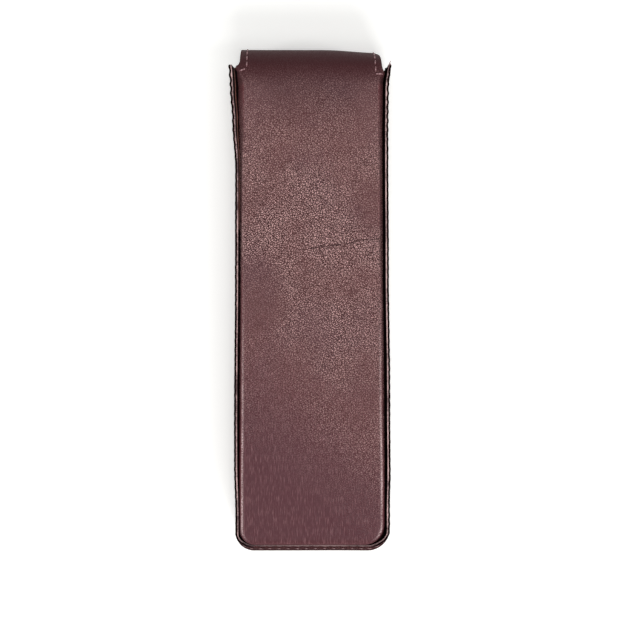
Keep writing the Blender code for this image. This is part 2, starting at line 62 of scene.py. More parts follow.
CASE_HEIGHT = 0.025
LOW_Y = -CASE_LENGTH / 2
BEND = CASE_HEIGHT / 2
BEND_Y = CASE_LENGTH / 2 - BEND
CREST_S = BEND_Y + BEND * math.pi / 2

# Leather and lining
PANEL_LEATHER = 0.0012
RIM_LEATHER = 0.0004
LINING = 0.0005
GLUE_LINE = 0.0002

# Sewing
STITCH_PITCH = 0.003
STITCH_LENGTH = 0.0022
STITCH_ROWS = 7
THREAD = 0.00046
THREAD_SIDES = 8

# The bend was pressed a little tighter towards its right, and at its right corner
SAG_RIGHT = 0.0010
SAG_CORNER = 0.0006


def linear(code):
    """Linear colour of an sRGB hex code."""
    channels = [int(code[start : start + 2], 16) / 255 for start in (0, 2, 4)]
    return (*(c / 12.92 if c <= 0.04045 else ((c + 0.055) / 1.055) ** 2.4 for c in channels), 1)


def smooth(value, low=0.0, high=1.0):
    """From 0 at low to 1 at high, with no corner at either."""
    t = min(1.0, max(0.0, (value - low) / (high - low)))
    return t * t * (3 - 2 * t)


def along_curve(value, points):
    """A smooth run through (place, height) pairs, level beyond its ends."""
    for (low, first), (high, second) in zip(points, points[1:]):
        if value <= high:
            return first + (second - first) * smooth(value, low, high)
    return points[-1][1]


def ripple(size, *place):
    """A random swell of about this size, the same on each run."""
    return size * noise.noise(Vector(place))


# Materials
# Sockets in the order that a row of values fills them, and the two colours of a mix
NOISE = ("Vector", "Scale", "Detail", "Roughness")
RANGE = ("Value", "From Min", "From Max", "To Min", "To Max")
COLOUR_A, COLOUR_B = 6, 7


def fill(tree, node, sockets):
    """Gives a node's sockets their values, colours as hex codes, or links: from a socket,
    or from the first output that a node has in use."""
    for name, value in sockets.items():
        socket = node.inputs[name]
        if isinstance(value, bpy.types.Node):
            value = next(output for output in value.outputs if output.enabled)
        if isinstance(value, bpy.types.NodeSocket):
            tree.links.new(value, socket)
        else:
            socket.default_value = linear(value) if socket.type == "RGBA" else value


def add(tree, kind, sockets=None, **settings):
    """Adds a node with its settings and its links."""
    made = tree.nodes.new(kind)
    for name, value in settings.items():
        setattr(made, name, value)
    fill(tree, made, sockets or {})
    return made


def add_each(tree, kind, sockets, rows, **settings):
    """Adds a node for each named row of values, which these sockets take in turn."""
    return {name: add(tree, kind, dict(zip(sockets, row)), **settings) for name, row in rows.items()}


def per_mm(size):
    """Texture scale whose pattern repeats about every so many millimetres."""
    return 1000 / size


def new_material(name):
    material = bpy.data.materials.new(name)
    material.use_nodes = True
    tree = material.node_tree
    return material, tree, tree.nodes["Principled BSDF"]


def calf_grain(tree, rest):
    """The calf's own pattern: slanting pebbles two thirds of a millimetre wide, each tilted
    its own way, a crackle over them, fine grit, longer wrinkles and combed streaks. The
    grit and the streaks are drawn about twice as coarse as real ones, so that they show."""
    slant = (0.0, 0.0, 0.66)
    sway = add(tree, "ShaderNodeTexNoise", dict(zip(NOISE, (rest, per_mm(2.6), 2.0, 0.55))))
    sway = {0: sway.outputs["Color"], 1: (0.5, 0.5, 0.5)}
    sway = add(tree, "ShaderNodeVectorMath", sway, operation="SUBTRACT")
    place = {0: sway, 1: (0.0003, 0.0003, 0.0), 2: rest}
    place = add(tree, "ShaderNodeVectorMath", place, operation="MULTIPLY_ADD")
    drawn_out = ("Vector", "Rotation", "Scale")
    drawn_out = add_each(tree, "ShaderNodeMapping", drawn_out, {
        "pebbles": (place, slant, (1.5, 1.0, 1.0)),
        "wrinkles": (place, slant, (3.4, 1.0, 1.0)),
    }, vector_type="TEXTURE")
    combed = add(tree, "ShaderNodeMapping", {"Vector": rest, "Scale": (1.0, 0.08, 1.0)})
    grain = add_each(tree, "ShaderNodeTexNoise", NOISE, {
        "fine": (place, per_mm(0.36), 2.0, 0.6),
        "folds": (drawn_out["wrinkles"], per_mm(1.7), 3.0, 0.55),
        "streaks": (combed, per_mm(0.27), 3.0, 0.6),
    })
    pebbles = (drawn_out["pebbles"], per_mm(0.66))
    gaps = add_each(tree, "ShaderNodeTexVoronoi", ("Vector", "Scale"), {
        "pebbles": pebbles,
        "crackle": (place, per_mm(0.50)),
    }, feature="DISTANCE_TO_EDGE", voronoi_dimensions="2D")
    tint = add(
        tree, "ShaderNodeTexVoronoi", dict(zip(("Vector", "Scale"), pebbles)), voronoi_dimensions="2D"
    )
    grain["tilt"] = add(tree, "ShaderNodeSeparateColor", {"Color": tint.outputs["Color"]})
    ridge = add(tree, "ShaderNodeMath", {0: grain["folds"], 1: 0.5}, operation="SUBTRACT")
    ridge = add(tree, "ShaderNodeMath", {0: ridge}, operation="ABSOLUTE")
    grain.update(add_each(tree, "ShaderNodeMapRange", RANGE, {
        "domes": (gaps["pebbles"], 0.0, 0.14),
        "crackle": (gaps["crackle"], 0.0, 0.16),
        "wrinkles": (ridge, 0.0, 0.017),
    }, interpolation_type="SMOOTHSTEP"))
    return grain


def calf_zones(tree, rest, pressed):
    """Where on the flap the finish changes: full grain over its middle, in patches, with
    smoother ends; and where painted light goes: a lighter middle as a painted highlight,
    a painted sheen along the sides below the hinge, painted shade on the crown of the bend,
    and painted shade on the duller fold of the lower end."""
    across, along, _ = add(tree, "ShaderNodeSeparateXYZ", {"Vector": rest}).outputs
    leaning = add(tree, "ShaderNodeMath", {0: across, 1: 0.7, 2: along}, operation="MULTIPLY_ADD")
    from_axis = add(tree, "ShaderNodeMath", {0: across}, operation="ABSOLUTE")
    clouds = add_each(tree, "ShaderNodeTexNoise", NOISE, {
        "patches": (rest, per_mm(21), 2.0, 0.5),
        "hue": (rest, per_mm(24), 2.0, 0.5),
    })
    zones = add_each(tree, "ShaderNodeMapRange", RANGE, {
        "lower": (leaning, -0.066, 0.008),
        "upper": (along, 0.036, 0.0775, 1.0, 0.02),
    })
    zones.update(add_each(tree, "ShaderNodeMapRange", RANGE, {
        "patches": (clouds["patches"], 0.38, 0.54, 0.62, 1.0),
        "hue": (clouds["hue"], 0.42, 0.68),
        "above lower end": (leaning, -0.058, 0.010),
        "below upper end": (along, 0.048, 0.076, 1.0, 0.10),
        "off axis": (from_axis, 0.009, 0.020, 0.0, 0.34),
        "above middle": (along, 0.034, 0.058),
        "below hinge": (along, 0.067, 0.074, 1.0, 0.0),
        "crown": (along, 0.067, 0.0775),
        "crest": (along, 0.0835, 0.0880),
        "handled": (along, -0.0778, -0.0796, 0.0, 0.80),
    }, interpolation_type="SMOOTHSTEP"))
    zones.update(add_each(tree, "ShaderNodeMath", (0, 1), {
        "plain": (1.0, zones["lower"]),
        "unpressed": (1.0, pressed),
    }, operation="SUBTRACT"))
    for name, parts in (
        ("middle", ("above lower end", "below upper end")),
        ("painted sheen", ("off axis", "above middle", "below hinge")),
        ("strength", ("lower", "upper", "patches", "unpressed")),
    ):
        share = 1.0
        for part in parts:
            share = add(tree, "ShaderNodeMath", {0: share, 1: zones[part]}, operation="MULTIPLY")
        zones[name] = share
    return zones


def calf_relief(tree, grain, zones, creased):
    """The height of the grain by itself, and as it stands on the leather: nearly flat
    where the calf is plain, and sunk in a crease."""
    relief = 0.0
    for layer, share in (
        ("domes", 0.62), ("crackle", 0.52), ("fine", 1.15), ("wrinkles", 0.12), ("tilt", 0.08)
    ):
        layer = {0: grain[layer], 1: share, 2: relief}
        relief = add(tree, "ShaderNodeMath", layer, operation="MULTIPLY_ADD")
    weight = {0: zones["strength"], 1: 0.86, 2: 0.14}
    weight = add(tree, "ShaderNodeMath", weight, operation="MULTIPLY_ADD")
    combed = {0: grain["streaks"], 1: zones["plain"]}
    combed = add(tree, "ShaderNodeMath", combed, operation="MULTIPLY")
    height = add(tree, "ShaderNodeMath", {0: relief, 1: weight}, operation="MULTIPLY")
    for layer, share in ((combed, 0.22), (creased, -0.8)):
        height = add(tree, "ShaderNodeMath", {0: layer, 1: share, 2: height}, operation="MULTIPLY_ADD")
    return relief, combed, height


def calf_leather(name, grain_depth, palette, matt=0.0, specular=0.36):
    """Calf, dyed and pressed over its own grain, then waxed: pebbles under a millimetre
    wide, their tops painted paler, partly wax and partly painted glints, and their pits
    painted darker, partly dye and partly painted shade; dye that lies unevenly in brown and
    purple; smoother grain towards both ends where it was pressed and stretched, and a lighter
    middle that is a painted highlight, the soft reflection of the light above, so that both
    ends look darker and redder. Painted shade and highlights also lie where the marks say."""
    material, tree, shader = new_material(name)
    rest = add(tree, "ShaderNodeAttribute", attribute_name="rest").outputs["Vector"]
    marks = {
        mark: add(tree, "ShaderNodeAttribute", attribute_name=mark).outputs["Fac"]
        for mark in ("creased", "rubbed", "pressed", "flanked", "run_over")
    }
    creased = {"Value": marks["creased"], "From Min": 0.77, "From Max": 0.97}
    creased = add(tree, "ShaderNodeMapRange", creased, interpolation_type="SMOOTHSTEP")
    grain = calf_grain(tree, rest)
    zones = calf_zones(tree, rest, marks["pressed"])
    relief, combed, height = calf_relief(tree, grain, zones, creased)
    mottle = {0: grain["fine"], 1: 0.5, 2: combed}
    mottle = add(tree, "ShaderNodeMath", mottle, operation="MULTIPLY_ADD")
    shares = add_each(tree, "ShaderNodeMapRange", RANGE, {
        "mottled": (mottle, 0.66, 0.34, 0.0, 0.45),
        "combed": (grain["streaks"], 0.50, 0.70, 0.0, 0.34),
        "pits": (relief, 1.68, 1.20),
        "tops": (relief, 1.72, 1.93),
        "worn": (grain["fine"], 0.40, 0.58, 0.12, 1.0),
        "folded": (grain["fine"], 0.34, 0.58, 0.50, 0.85),
        "gloss": (relief, 0.9, 2.0, 0.48 + matt, 0.30 + matt),
    }, interpolation_type="SMOOTHSTEP")
    colour = {"Factor": zones["hue"], COLOUR_A: palette["brown"], COLOUR_B: palette["purple"]}
    colour = add(tree, "ShaderNodeMix", colour, data_type="RGBA")
    # Painted highlight: the middle is lighter, as the soft reflection of the light above; the ends keep
    # the darker, redder colour.
    colour = {"Factor": zones["middle"], COLOUR_A: palette["ends"], COLOUR_B: colour}
    colour = add(tree, "ShaderNodeMix", colour, data_type="RGBA")
    for share, factor, paint in (
        (marks["pressed"], 0.4, "5C3236"),
        # Painted sheen along the sides below the hinge.
        (zones["painted sheen"], 1.0, "946466"),
        # Painted shade on the crown of the bend, which turns away from the light.
        (zones["crown"], 1.0, "50171F"),
        (shares["mottled"], 1.0, "2E1216"),
        # Painted shade on the fold of the lower end.
        (zones["handled"], 1.0, "4A1D23"),
        (shares["combed"], zones["plain"], "A9787C"),
        # Painted shade down the flank.
        (marks["flanked"], 0.85, "5E2129"),
        # Grain: darker pits, partly dye and partly painted shade; paler tops, partly wax and partly
        # painted glints.
        (shares["pits"], zones["strength"], palette["pits"]),
        (shares["tops"], zones["strength"], palette["tops"]),
        # Painted highlight along the folds of the edge, speckled by the grain.
        (marks["rubbed"], shares["worn"], "F2D6D4"),
        # Painted shade on the wall's rolled top at the lower end.
        (marks["run_over"], 1.0, "1A0A0D"),
        # Painted shade in the creases and along the hinge's stitches.
        (creased, shares["folded"], "35151A"),
    ):
        share = add(tree, "ShaderNodeMath", {0: share, 1: factor}, operation="MULTIPLY")
        coats = {"Factor": share, COLOUR_A: colour, COLOUR_B: paint}
        colour = add(tree, "ShaderNodeMix", coats, data_type="RGBA")
    gloss = shares["gloss"]
    for part, share in (
        (zones["crown"], 0.35), (zones["crest"], -0.30), (zones["handled"], 0.40),
        (marks["run_over"], 0.40), (marks["flanked"], 0.25), (marks["rubbed"], -0.10),
    ):
        gloss = add(tree, "ShaderNodeMath", {0: part, 1: share, 2: gloss}, operation="MULTIPLY_ADD")
    bump = add(tree, "ShaderNodeBump", {"Height": height, "Strength": 1.0, "Distance": grain_depth})
    fill(tree, shader, {
        "Base Color": colour, "Roughness": gloss, "Normal": bump, "Specular IOR Level": specular,
    })
    return material


def dyed_and_shaded_edge():
    """Both corners of the cut edge, rounded with a hot iron and dyed nearly black, darker than
    the dye alone as painted shade: a dull dark line on each side of the burnished one, for
    the shaded outline outside and the shaded gap inside."""
    material, tree, shader = new_material("ironed and dyed edge")
    place = add(tree, "ShaderNodeTexCoord").outputs["Object"]
    streaks = {"Vector": place, "Scale": per_mm(1.4), "Detail": 3.0}
    streaks = add(tree, "ShaderNodeTexNoise", streaks)
    palette = {"Factor": streaks, COLOUR_A: "070404", COLOUR_B: "190D0E"}
    colour = add(tree, "ShaderNodeMix", palette, data_type="RGBA")
    fill(tree, shader, {"Base Color": colour, "Roughness": 0.9, "Specular IOR Level": 0.0})
    return material


def cut_edge():
    """Cut edge of the wall, burnished with wax: fibres pressed to a paler, pinkish line,
    with painted shade darkening it at the lower end. Its fibres are drawn coarser than real
    ones, so that they show."""
    material, tree, shader = new_material("burnished cut edge")
    place = add(tree, "ShaderNodeTexCoord").outputs["Object"]
    along = add(tree, "ShaderNodeSeparateXYZ", {"Vector": place}).outputs["Y"]
    layers = add_each(tree, "ShaderNodeTexNoise", NOISE, {
        "fibres": (place, per_mm(0.5), 4.0, 0.6),
        "runs": (place, per_mm(7), 2.0),
    })
    mixed = {0: layers["fibres"], 1: layers["runs"]}
    mixed = add(tree, "ShaderNodeMath", mixed, operation="MULTIPLY")
    shares = add_each(tree, "ShaderNodeMapRange", RANGE, {
        "worn": (mixed, 0.14, 0.34),
        # Painted shade on the cut edge towards the lower end.
        "handled": (along, -0.0765, -0.0800, 0.0, 0.72),
    })
    worn = {"Factor": shares["worn"], COLOUR_A: "4A2E30", COLOUR_B: "CDA9A7"}
    worn = add(tree, "ShaderNodeMix", worn, data_type="RGBA")
    colour = {"Factor": shares["handled"], COLOUR_A: worn, COLOUR_B: "3A1F20"}
    colour = add(tree, "ShaderNodeMix", colour, data_type="RGBA")
    bump = {"Height": layers["fibres"], "Strength": 0.6, "Distance": 0.0001}
    bump = add(tree, "ShaderNodeBump", bump)
    fill(tree, shader, {"Base Color": colour, "Roughness": 0.5, "Normal": bump})
    return material


def pig_suede(name, light, dark, nap_sheen):
    """Pigskin split, sueded: short nap that lies in cloudy lighter and darker strokes. The
    nap is drawn coarser than real hairs, so that it shows."""
    material, tree, shader = new_material(name)
    place = add(tree, "ShaderNodeTexCoord").outputs["Object"]
    nap = {"Vector": place, "Scale": per_mm(0.35), "Detail": 4.0, "Roughness": 0.7}
    nap = add(tree, "ShaderNodeTexNoise", nap)
    strokes = {"Vector": place, "Scale": per_mm(9), "Detail": 3.0, "Distortion": 0.6}
    strokes = add(tree, "ShaderNodeTexNoise", strokes)
    mixed = add(tree, "ShaderNodeMath", {0: strokes, 1: 0.6, 2: nap}, operation="MULTIPLY_ADD")
    share = add(tree, "ShaderNodeMapRange", {"Value": mixed, "From Min": 0.6, "From Max": 1.05})
    palette = {"Factor": share, COLOUR_A: dark, COLOUR_B: light}
    colour = add(tree, "ShaderNodeMix", palette, data_type="RGBA")
    bump = add(tree, "ShaderNodeBump", {"Height": nap, "Strength": 0.7, "Distance": 0.00012})
    fill(tree, shader, {
        "Base Color": colour, "Roughness": 0.92, "Normal": bump,
        "Sheen Weight": nap_sheen, "Sheen Roughness": 0.5,
    })
    return material


def waxed_thread():
    """Polyester thread of three strands, waxed: slanting strands and a soft gleam."""
    material, tree, shader = new_material("waxed sewing thread")
    twist = add(tree, "ShaderNodeAttribute", attribute_name="twist").outputs["Vector"]
    strands = {"Vector": twist, "Scale": 1.0, "Distortion": 0.0}
    strands = add(tree, "ShaderNodeTexWave", strands, bands_direction="DIAGONAL").outputs["Fac"]
    palette = {"Factor": strands, COLOUR_A: "7A5054", COLOUR_B: "B38D90"}
    colour = add(tree, "ShaderNodeMix", palette, data_type="RGBA")
    bump = add(tree, "ShaderNodeBump", {"Height": strands, "Strength": 0.8, "Distance": 0.00006})
    fill(tree, shader, {"Base Color": colour, "Roughness": 0.5, "Normal": bump})
    return material


def grey_board():
    """Pressed grey board of waste paper: flecks of lighter and darker fibre."""
    material, tree, shader = new_material("pressed grey board")
    place = add(tree, "ShaderNodeTexCoord").outputs["Object"]
    flecks = {"Vector": place, "Scale": per_mm(0.8), "Detail": 5.0, "Roughness": 0.7}
    flecks = add(tree, "ShaderNodeTexNoise", flecks)
    fibres = {"Factor": flecks, COLOUR_A: "746F67", COLOUR_B: "A39E94"}
    colour = add(tree, "ShaderNodeMix", fibres, data_type="RGBA")
    fill(tree, shader, {"Base Color": colour, "Roughness": 0.85})
    return material


def nickel_plate():
    """Magnet plated with nickel: a warm grey mirror, faintly hazed by tumbling."""
    material, tree, shader = new_material("tumbled nickel plate")
    place = add(tree, "ShaderNodeTexCoord").outputs["Object"]
    haze = add(tree, "ShaderNodeTexNoise", {"Vector": place, "Scale": per_mm(1.2), "Detail": 3.0})
    gloss = add(tree, "ShaderNodeMapRange", {"Value": haze, "To Min": 0.22, "To Max": 0.4})
    fill(tree, shader, {"Base Color": "B5B1A8", "Roughness": gloss, "Metallic": 1.0})
    return material


# Pieces
def add_object(name, data):
    """Sets a mesh, a light or a camera in the scene."""
    made = bpy.data.objects.new(name, data)
    bpy.context.scene.collection.objects.link(made)
    return made


def store(mesh, label, values):
    """Keeps a number or a vector for each point of a mesh."""
    vectors = isinstance(values[0], (tuple, Vector))
    attribute = mesh.attributes.new(label, "FLOAT_VECTOR" if vectors else "FLOAT", "POINT")
    if vectors:
        attribute.data.foreach_set("vector", [number for vector in values for number in vector])
    else:
        attribute.data.foreach_set("value", values)


class Sheet:
    """A mesh built point by point, each with its place on the leather laid flat."""

    def __init__(self):
        self.points = []
        self.rest = []
        self.faces = []
        self.zones = {}

    def put(self, point, rest):
        self.points.append(tuple(point))
        self.rest.append(tuple(rest))
        return len(self.points) - 1

    def strip(self, first, second, zone=0):
        """Quads between two rows of points, in one of the piece's finishes."""
        for a, b, c, d in zip(first, first[1:], second[1:], second):
            if zone:
                self.zones[len(self.faces)] = zone
            self.faces.append((a, b, c, d))

    def tube(self, rings):
        """Closed rings of points joined one to the next, with both ends closed."""
        for near, far in zip(rings, rings[1:]):
            self.strip([*near, near[0]], [*far, far[0]])
        self.faces += [tuple(rings[0]), tuple(rings[-1])]

    def object(self, name, materials, sharp=50):
        """The finished piece, smooth but for its real edges, with its faces outwards."""
        mesh = bpy.data.meshes.new(name)
        mesh.from_pydata(self.points, [], self.faces)
        store(mesh, "rest", self.rest)
        for material in materials:
            mesh.materials.append(material)
        for index, zone in self.zones.items():
            mesh.polygons[index].material_index = zone
        shape = bmesh.new()
        shape.from_mesh(mesh)
        bmesh.ops.recalc_face_normals(shape, faces=shape.faces)
        shape.to_mesh(mesh)
        shape.free()
        mesh.shade_smooth()
        mesh.set_sharp_from_angle(angle=math.radians(sharp))
        return add_object(name, mesh)


def crest_sag(x):
    """How far the bend of the hinge stands in from a true round here."""
    return SAG_RIGHT * smooth(x, 0.003, 0.022) + SAG_CORNER * smooth(x, 0.0198, 0.0228)


def lift_flap(x, s, depth):
    """Where a point of the flap's leather lies: flat on top, then down round the end."""
    if s <= BEND_Y:
        return x, s, CASE_HEIGHT - depth
    turn = (s - BEND_Y) / BEND
    radius = BEND - depth - crest_sag(x) * smooth(s, BEND_Y + 0.006, CREST_S - 0.002)
    return x, BEND_Y + radius * math.sin(turn), BEND + radius * math.cos(turn)


def lift_back(x, s, depth):
    """Where a point of the back's leather lies: flat below, then up round the end."""
    x, y, z = lift_flap(x, s, depth)
    return x, y, CASE_HEIGHT - z


# Lower than any place on the case, for the last spacing of its rows
TO_THE_END = -1.0


def side_rows(top, bottom, steps):
    """Places down a side: above each (place, spacing) pair's place they are that close."""
    rows = [top]
    while rows[-1] > bottom:
        gap = next(gap for low, gap in steps if rows[-1] > low)
        rows.append(max(bottom, rows[-1] - gap))
        if rows[-1] - bottom < gap / 2:
            rows[-1] = bottom
    return rows


# How far above its two corners a cut's rows start to follow them
CORNER_REACH = 0.02


def cut_outline(half, top, low, radii, steps, columns, corner_steps=14):
    """The outline of a U-shaped cut, right end round to left end, as places with the way
    out, and how many of them are on the right. half gives the distance from the middle
    at an S on a side, and radii the right and the left corner."""
    middle = low + sum(radii) / 2
    rows = side_rows(top, middle, steps)
    sides = []
    for side, radius in zip((1.0, -1.0), radii):
        bottom = low + radius
        down = []
        for s in rows:
            s += (bottom - middle) * (1 - smooth(s, middle, middle + CORNER_REACH))
            down.append((side * half(s, side), s, side, 0.0))
        start = side * (half(bottom, side) - radius)
        for step in range(1, corner_steps + 1):
            turn = math.pi / 2 * step / corner_steps
            out_x, out_s = side * math.cos(turn), -math.sin(turn)
            down.append((start + radius * out_x, bottom + radius * out_s, out_x, out_s))
        sides.append(down)
    right, left = sides
    start, end = right[-1][0], left[-1][0]
    low_edge = [
        (start + (end - start) * (column / columns), low, 0.0, -1.0) for column in range(1, columns)
    ]
    return right + low_edge + left[::-1], len(right)


# How deep the edge of a cut follows the relief of its face
RELIEF_DEPTH = 0.0006


def shell(name, material, outline, columns, section, lift, relief=None):
    """A moulded piece of leather: section gives its (inset, depth) points at a place, from
    the face over the edge to the inside, and a grid fills the face and the inside."""
    sheet = Sheet()
    places, side_count = outline
    sections = [section(*place) for place in places]
    rings = []
    for (x, s, out_x, out_s), line in zip(places, sections):
        run = -line[0][0]
        ring = []
        for index, (inset, depth) in enumerate(line):
            if index:
                run += math.hypot(inset - line[index - 1][0], depth - line[index - 1][1])
            px, ps = x - out_x * inset, s - out_s * inset
            raised = relief(px, ps) * smooth(RELIEF_DEPTH - depth, 0.0, RELIEF_DEPTH) if relief else 0.0
            rest = (x + out_x * run, s + out_s * run, depth)
            ring.append(sheet.put(lift(px, ps, depth - raised), rest))
        rings.append(ring)
    count = len(places)

    def grid(label):
        """Rows of points from side to side, on the face where label is 0."""
        rows = []
        for row in range(side_count - 1):
            ends = []
            for index in (row, count - 1 - row):
                x, s, out_x, out_s = places[index]
                inset = sections[index][label][0]
                ends.append((x - out_x * inset, s - out_s * inset))
            (x_right, s_right), (x_left, s_left) = ends
            depth = sections[row][label][1]
            line = [rings[row][label]]
            for column in range(1, columns):
                share = column / columns
                x = x_right + (x_left - x_right) * share
                s = s_right + (s_left - s_right) * share
                raised = relief(x, s) if relief and label == 0 else 0.0
                line.append(sheet.put(lift(x, s, depth - raised), (x, s, depth)))
            line.append(rings[count - 1 - row][label])
            rows.append(line)
        rows.append([ring[label] for ring in rings[side_count - 1 : count - side_count + 1]])
        for upper, lower in zip(rows, rows[1:]):
            sheet.strip(upper, lower)
        return rows

    face = grid(0)
    inside = grid(-1)
    for label in range(len(rings[0]) - 1):
        sheet.strip([ring[label] for ring in rings], [ring[label + 1] for ring in rings])
    sheet.strip(face[0], inside[0])
    sheet.faces += [tuple(rings[0]), tuple(rings[-1])]
    return sheet.object(name, [material])


def quarter(radius, inset, depth, steps):
    """A quarter round from the face over to the side, as (inset, depth) points."""
    points = []
    for step in range(steps + 1):
        turn = math.pi / 2 * step / steps
        points.append((inset + radius * (1 - math.sin(turn)), depth + radius * (1 - math.cos(turn))))
    return points


# Outline of the case, as made: a little narrower over its middle than at its lower end
WALL_RIGHT = [
    (-0.072, 0.0254), (-0.055, 0.0256), (-0.03, 0.0255), (0.016, 0.0250), (0.052, 0.0249),
    (0.0685, 0.0251), (0.0765, 0.0259),
]
WALL_LEFT = [
    (-0.072, 0.0250), (-0.055, 0.02544), (-0.028, 0.0254), (0.004, 0.0251), (0.042, 0.0251),
    (0.058, 0.0260), (0.0685, 0.0267), (0.0765, 0.0272),
]
WALL_RADII = (0.0072, 0.0060)
FLARE_START = 0.042
FLAP_RIGHT = [
    (-0.06, 0.0237), (-0.03, 0.0233), (0.018, 0.0230), (0.062, 0.0229), (0.0722, 0.0231),
    (0.0738, 0.0237), (0.0757, 0.0231), (0.0768, 0.0229), (0.0895, 0.0221),
]
FLAP_LEFT = [
    (-0.06, 0.0238), (-0.03, 0.0236), (0.018, 0.0234), (0.05, 0.0236), (0.068, 0.0240),
    (0.0742, 0.0244), (0.0757, 0.0251), (0.0769, 0.0241), (0.0782, 0.0237), (0.0895, 0.0236),
]
FLAP_RADII = (0.0068, 0.0052)


def wall_half(y, side):
    """From the middle to the wall's top edge, as the case is seen from above."""
    return along_curve(y, WALL_RIGHT if side > 0 else WALL_LEFT)


def foot_half(y, side):
    """The wall's foot stays in line where its top leans out towards the mouth."""
    return wall_half(min(y, FLARE_START), side)


def flap_half(s, side):
    return along_curve(s, FLAP_RIGHT if side > 0 else FLAP_LEFT)


# Flap with the upper half of the hinge
FLAP_LOW = LOW_Y + 0.0018
FLAP_DROP = 0.0035
FLAP_COLUMNS = 96
FLAP_ROWS = [
    (0.0695, 0.00033), (0.064, 0.0005), (0.044, 0.00062), (0.0365, 0.0004),
    (0.0225, 0.00062), (-0.0035, 0.0003), (TO_THE_END, 0.00062),
]
EAR_S = 0.0708
EAR_LENGTH = 0.0046
EDGE_LIP = 0.00012
FLANK_RIGHT = [(-0.03, 0.0004), (0.0, 0.0006), (0.02, 0.0011), (0.08, 0.0012)]
FLANK_LEFT = [(-0.03, 0.0004), (0.016, 0.0005), (0.04, 0.0009), (0.056, 0.0015), (0.08, 0.0016)]
FLANK_LOW_END = 0.0004
FOLD_RADIUS = [(-0.02, 0.0011), (0.02, 0.0008), (0.05, 0.0005)]
FOLD_STEPS = 7
STRIP_FLANK = 0.0002
STRIP_FOLD = 0.0003
CUT_SOFT = 0.0002
HAIR = 0.00001
RUBBED_HIGHLIGHT_INSET = 0.0010
RUBBED_HIGHLIGHT_WIDTH = 0.00028


def flank_width(s, side):
    """How far the flank under the flap's folded edge leans out."""
    return along_curve(s, FLANK_RIGHT if side > 0 else FLANK_LEFT)


def flap_section(x, s, out_x, out_s):
    """The flap's edge: folded down into a flank that leans out, crisper towards the
    hinge, and over the hinge only a plain cut edge."""
    ear = 1 - smooth(s, EAR_S, EAR_S + EAR_LENGTH)
    flank = FLANK_LOW_END + (flank_width(s, out_x) - FLANK_LOW_END) * abs(out_x)
    flank = flank * ear + STRIP_FLANK * (1 - ear)
    fold = along_curve(s, FOLD_RADIUS) * ear + STRIP_FOLD * (1 - ear)
    drop = PANEL_LEATHER + 4 * HAIR + (FLAP_DROP - PANEL_LEATHER) * ear
    slope = math.hypot(flank, drop)
    reach = min(fold, slope * 0.45)
    along_x, along_z = -flank / slope, drop / slope
    points = []
    for step in range(FOLD_STEPS + 1):
        t = step / FOLD_STEPS
        first, last = (1 - t) * (1 - t), t * t
        points.append((flank + first * fold + last * along_x * reach, last * along_z * reach))
    inset, depth = points[-1]
    for share in (0.35, 0.7):
        down = (slope - reach) * share
        points.append((inset + along_x * down, depth + along_z * down))
    soft = CUT_SOFT * (0.02 + 0.98 * ear)
    lip = EDGE_LIP * ear
    under = flank * 0.6 * ear
    points += [
        (flank * soft / drop, drop - soft * 1.6),
        (flank * soft / drop - lip, drop - soft),
        (-lip * 0.6, drop - soft * 0.4),
        (soft + HAIR, drop),
        (PANEL_LEATHER - soft, drop),
        (PANEL_LEATHER, drop - soft),
        (PANEL_LEATHER + under, PANEL_LEATHER + soft + 2 * HAIR),
        (PANEL_LEATHER + under + soft + 2 * HAIR, PANEL_LEATHER),
    ]
    return points


# Creases of the flap, each a line across the leather laid flat
CREASE = [
    (-0.0062, 0.0158), (-0.0012, 0.0161), (0.0022, 0.0167), (0.0060, 0.0171), (0.0092, 0.0176),
    (0.0125, 0.0179), (0.0153, 0.0188), (0.0176, 0.0191), (0.0200, 0.0191), (0.0236, 0.0197),
]
SMALL_CREASES = [
    [(-0.0068, -0.0028), (-0.0030, -0.0014), (0.0003, 0.0008), (0.0022, 0.0023), (0.0052, 0.0035)],
    [(-0.0014, 0.0046), (0.0012, 0.0048), (0.0030, 0.0042)],
    [(-0.0190, 0.0363), (-0.0184, 0.0391), (-0.0185, 0.0421)],
    [(-0.0010, 0.0089), (0.0024, 0.0099), (0.0052, 0.0115)],
    [(0.0010, -0.0355), (0.0060, -0.0339), (0.0110, -0.0334)],
    [(-0.0081, -0.0093), (-0.0044, -0.0056), (0.0001, -0.0041), (0.0038, -0.0019)],
    [(-0.0029, 0.0295), (-0.0006, 0.0295), (0.0016, 0.0288)],
    [(0.0031, 0.0119), (0.0064, 0.0131)],
    [(-0.0044, 0.0000), (-0.0021, 0.0018), (0.0001, 0.0052)],
]
CREASE_WIDTH = 0.0013
SMALL_CREASE_WIDTH = 0.0011
CREASE_DEPTH = 0.00014
CREASED_FROM, CREASED_TO = -0.04, 0.05

# Sewing of the hinge, from the crest down onto the flap
HINGE_SEAM_LEFT = [(-0.0213, CREST_S), (-0.0213, 0.0763), (-0.0219, 0.0748), (-0.0240, 0.0739)]
HINGE_SEAM_RIGHT = [(0.0203, CREST_S), (0.0206, 0.0790), (0.0208, 0.0731), (0.0232, 0.0729)]
HINGE_SEAM_LOW = 0.0735
HINGE_PITCH = STITCH_PITCH * 0.9
SEWN_FROM = 0.071
SEAM_WIDTH = 0.0009

# Patches pressed flatter: middle across and along, reach, and how far
PRESSED = [
    (-0.0175, 0.0010, 0.0120, 0.66), (0.0180, 0.0300, 0.0080, 0.42), (-0.015, -0.022, 0.010, 0.4),
    (0.0175, -0.0040, 0.0100, 0.25), (0.0185, -0.0270, 0.0090, 0.35),
    (0.0010, -0.0105, 0.0090, 0.28),
]


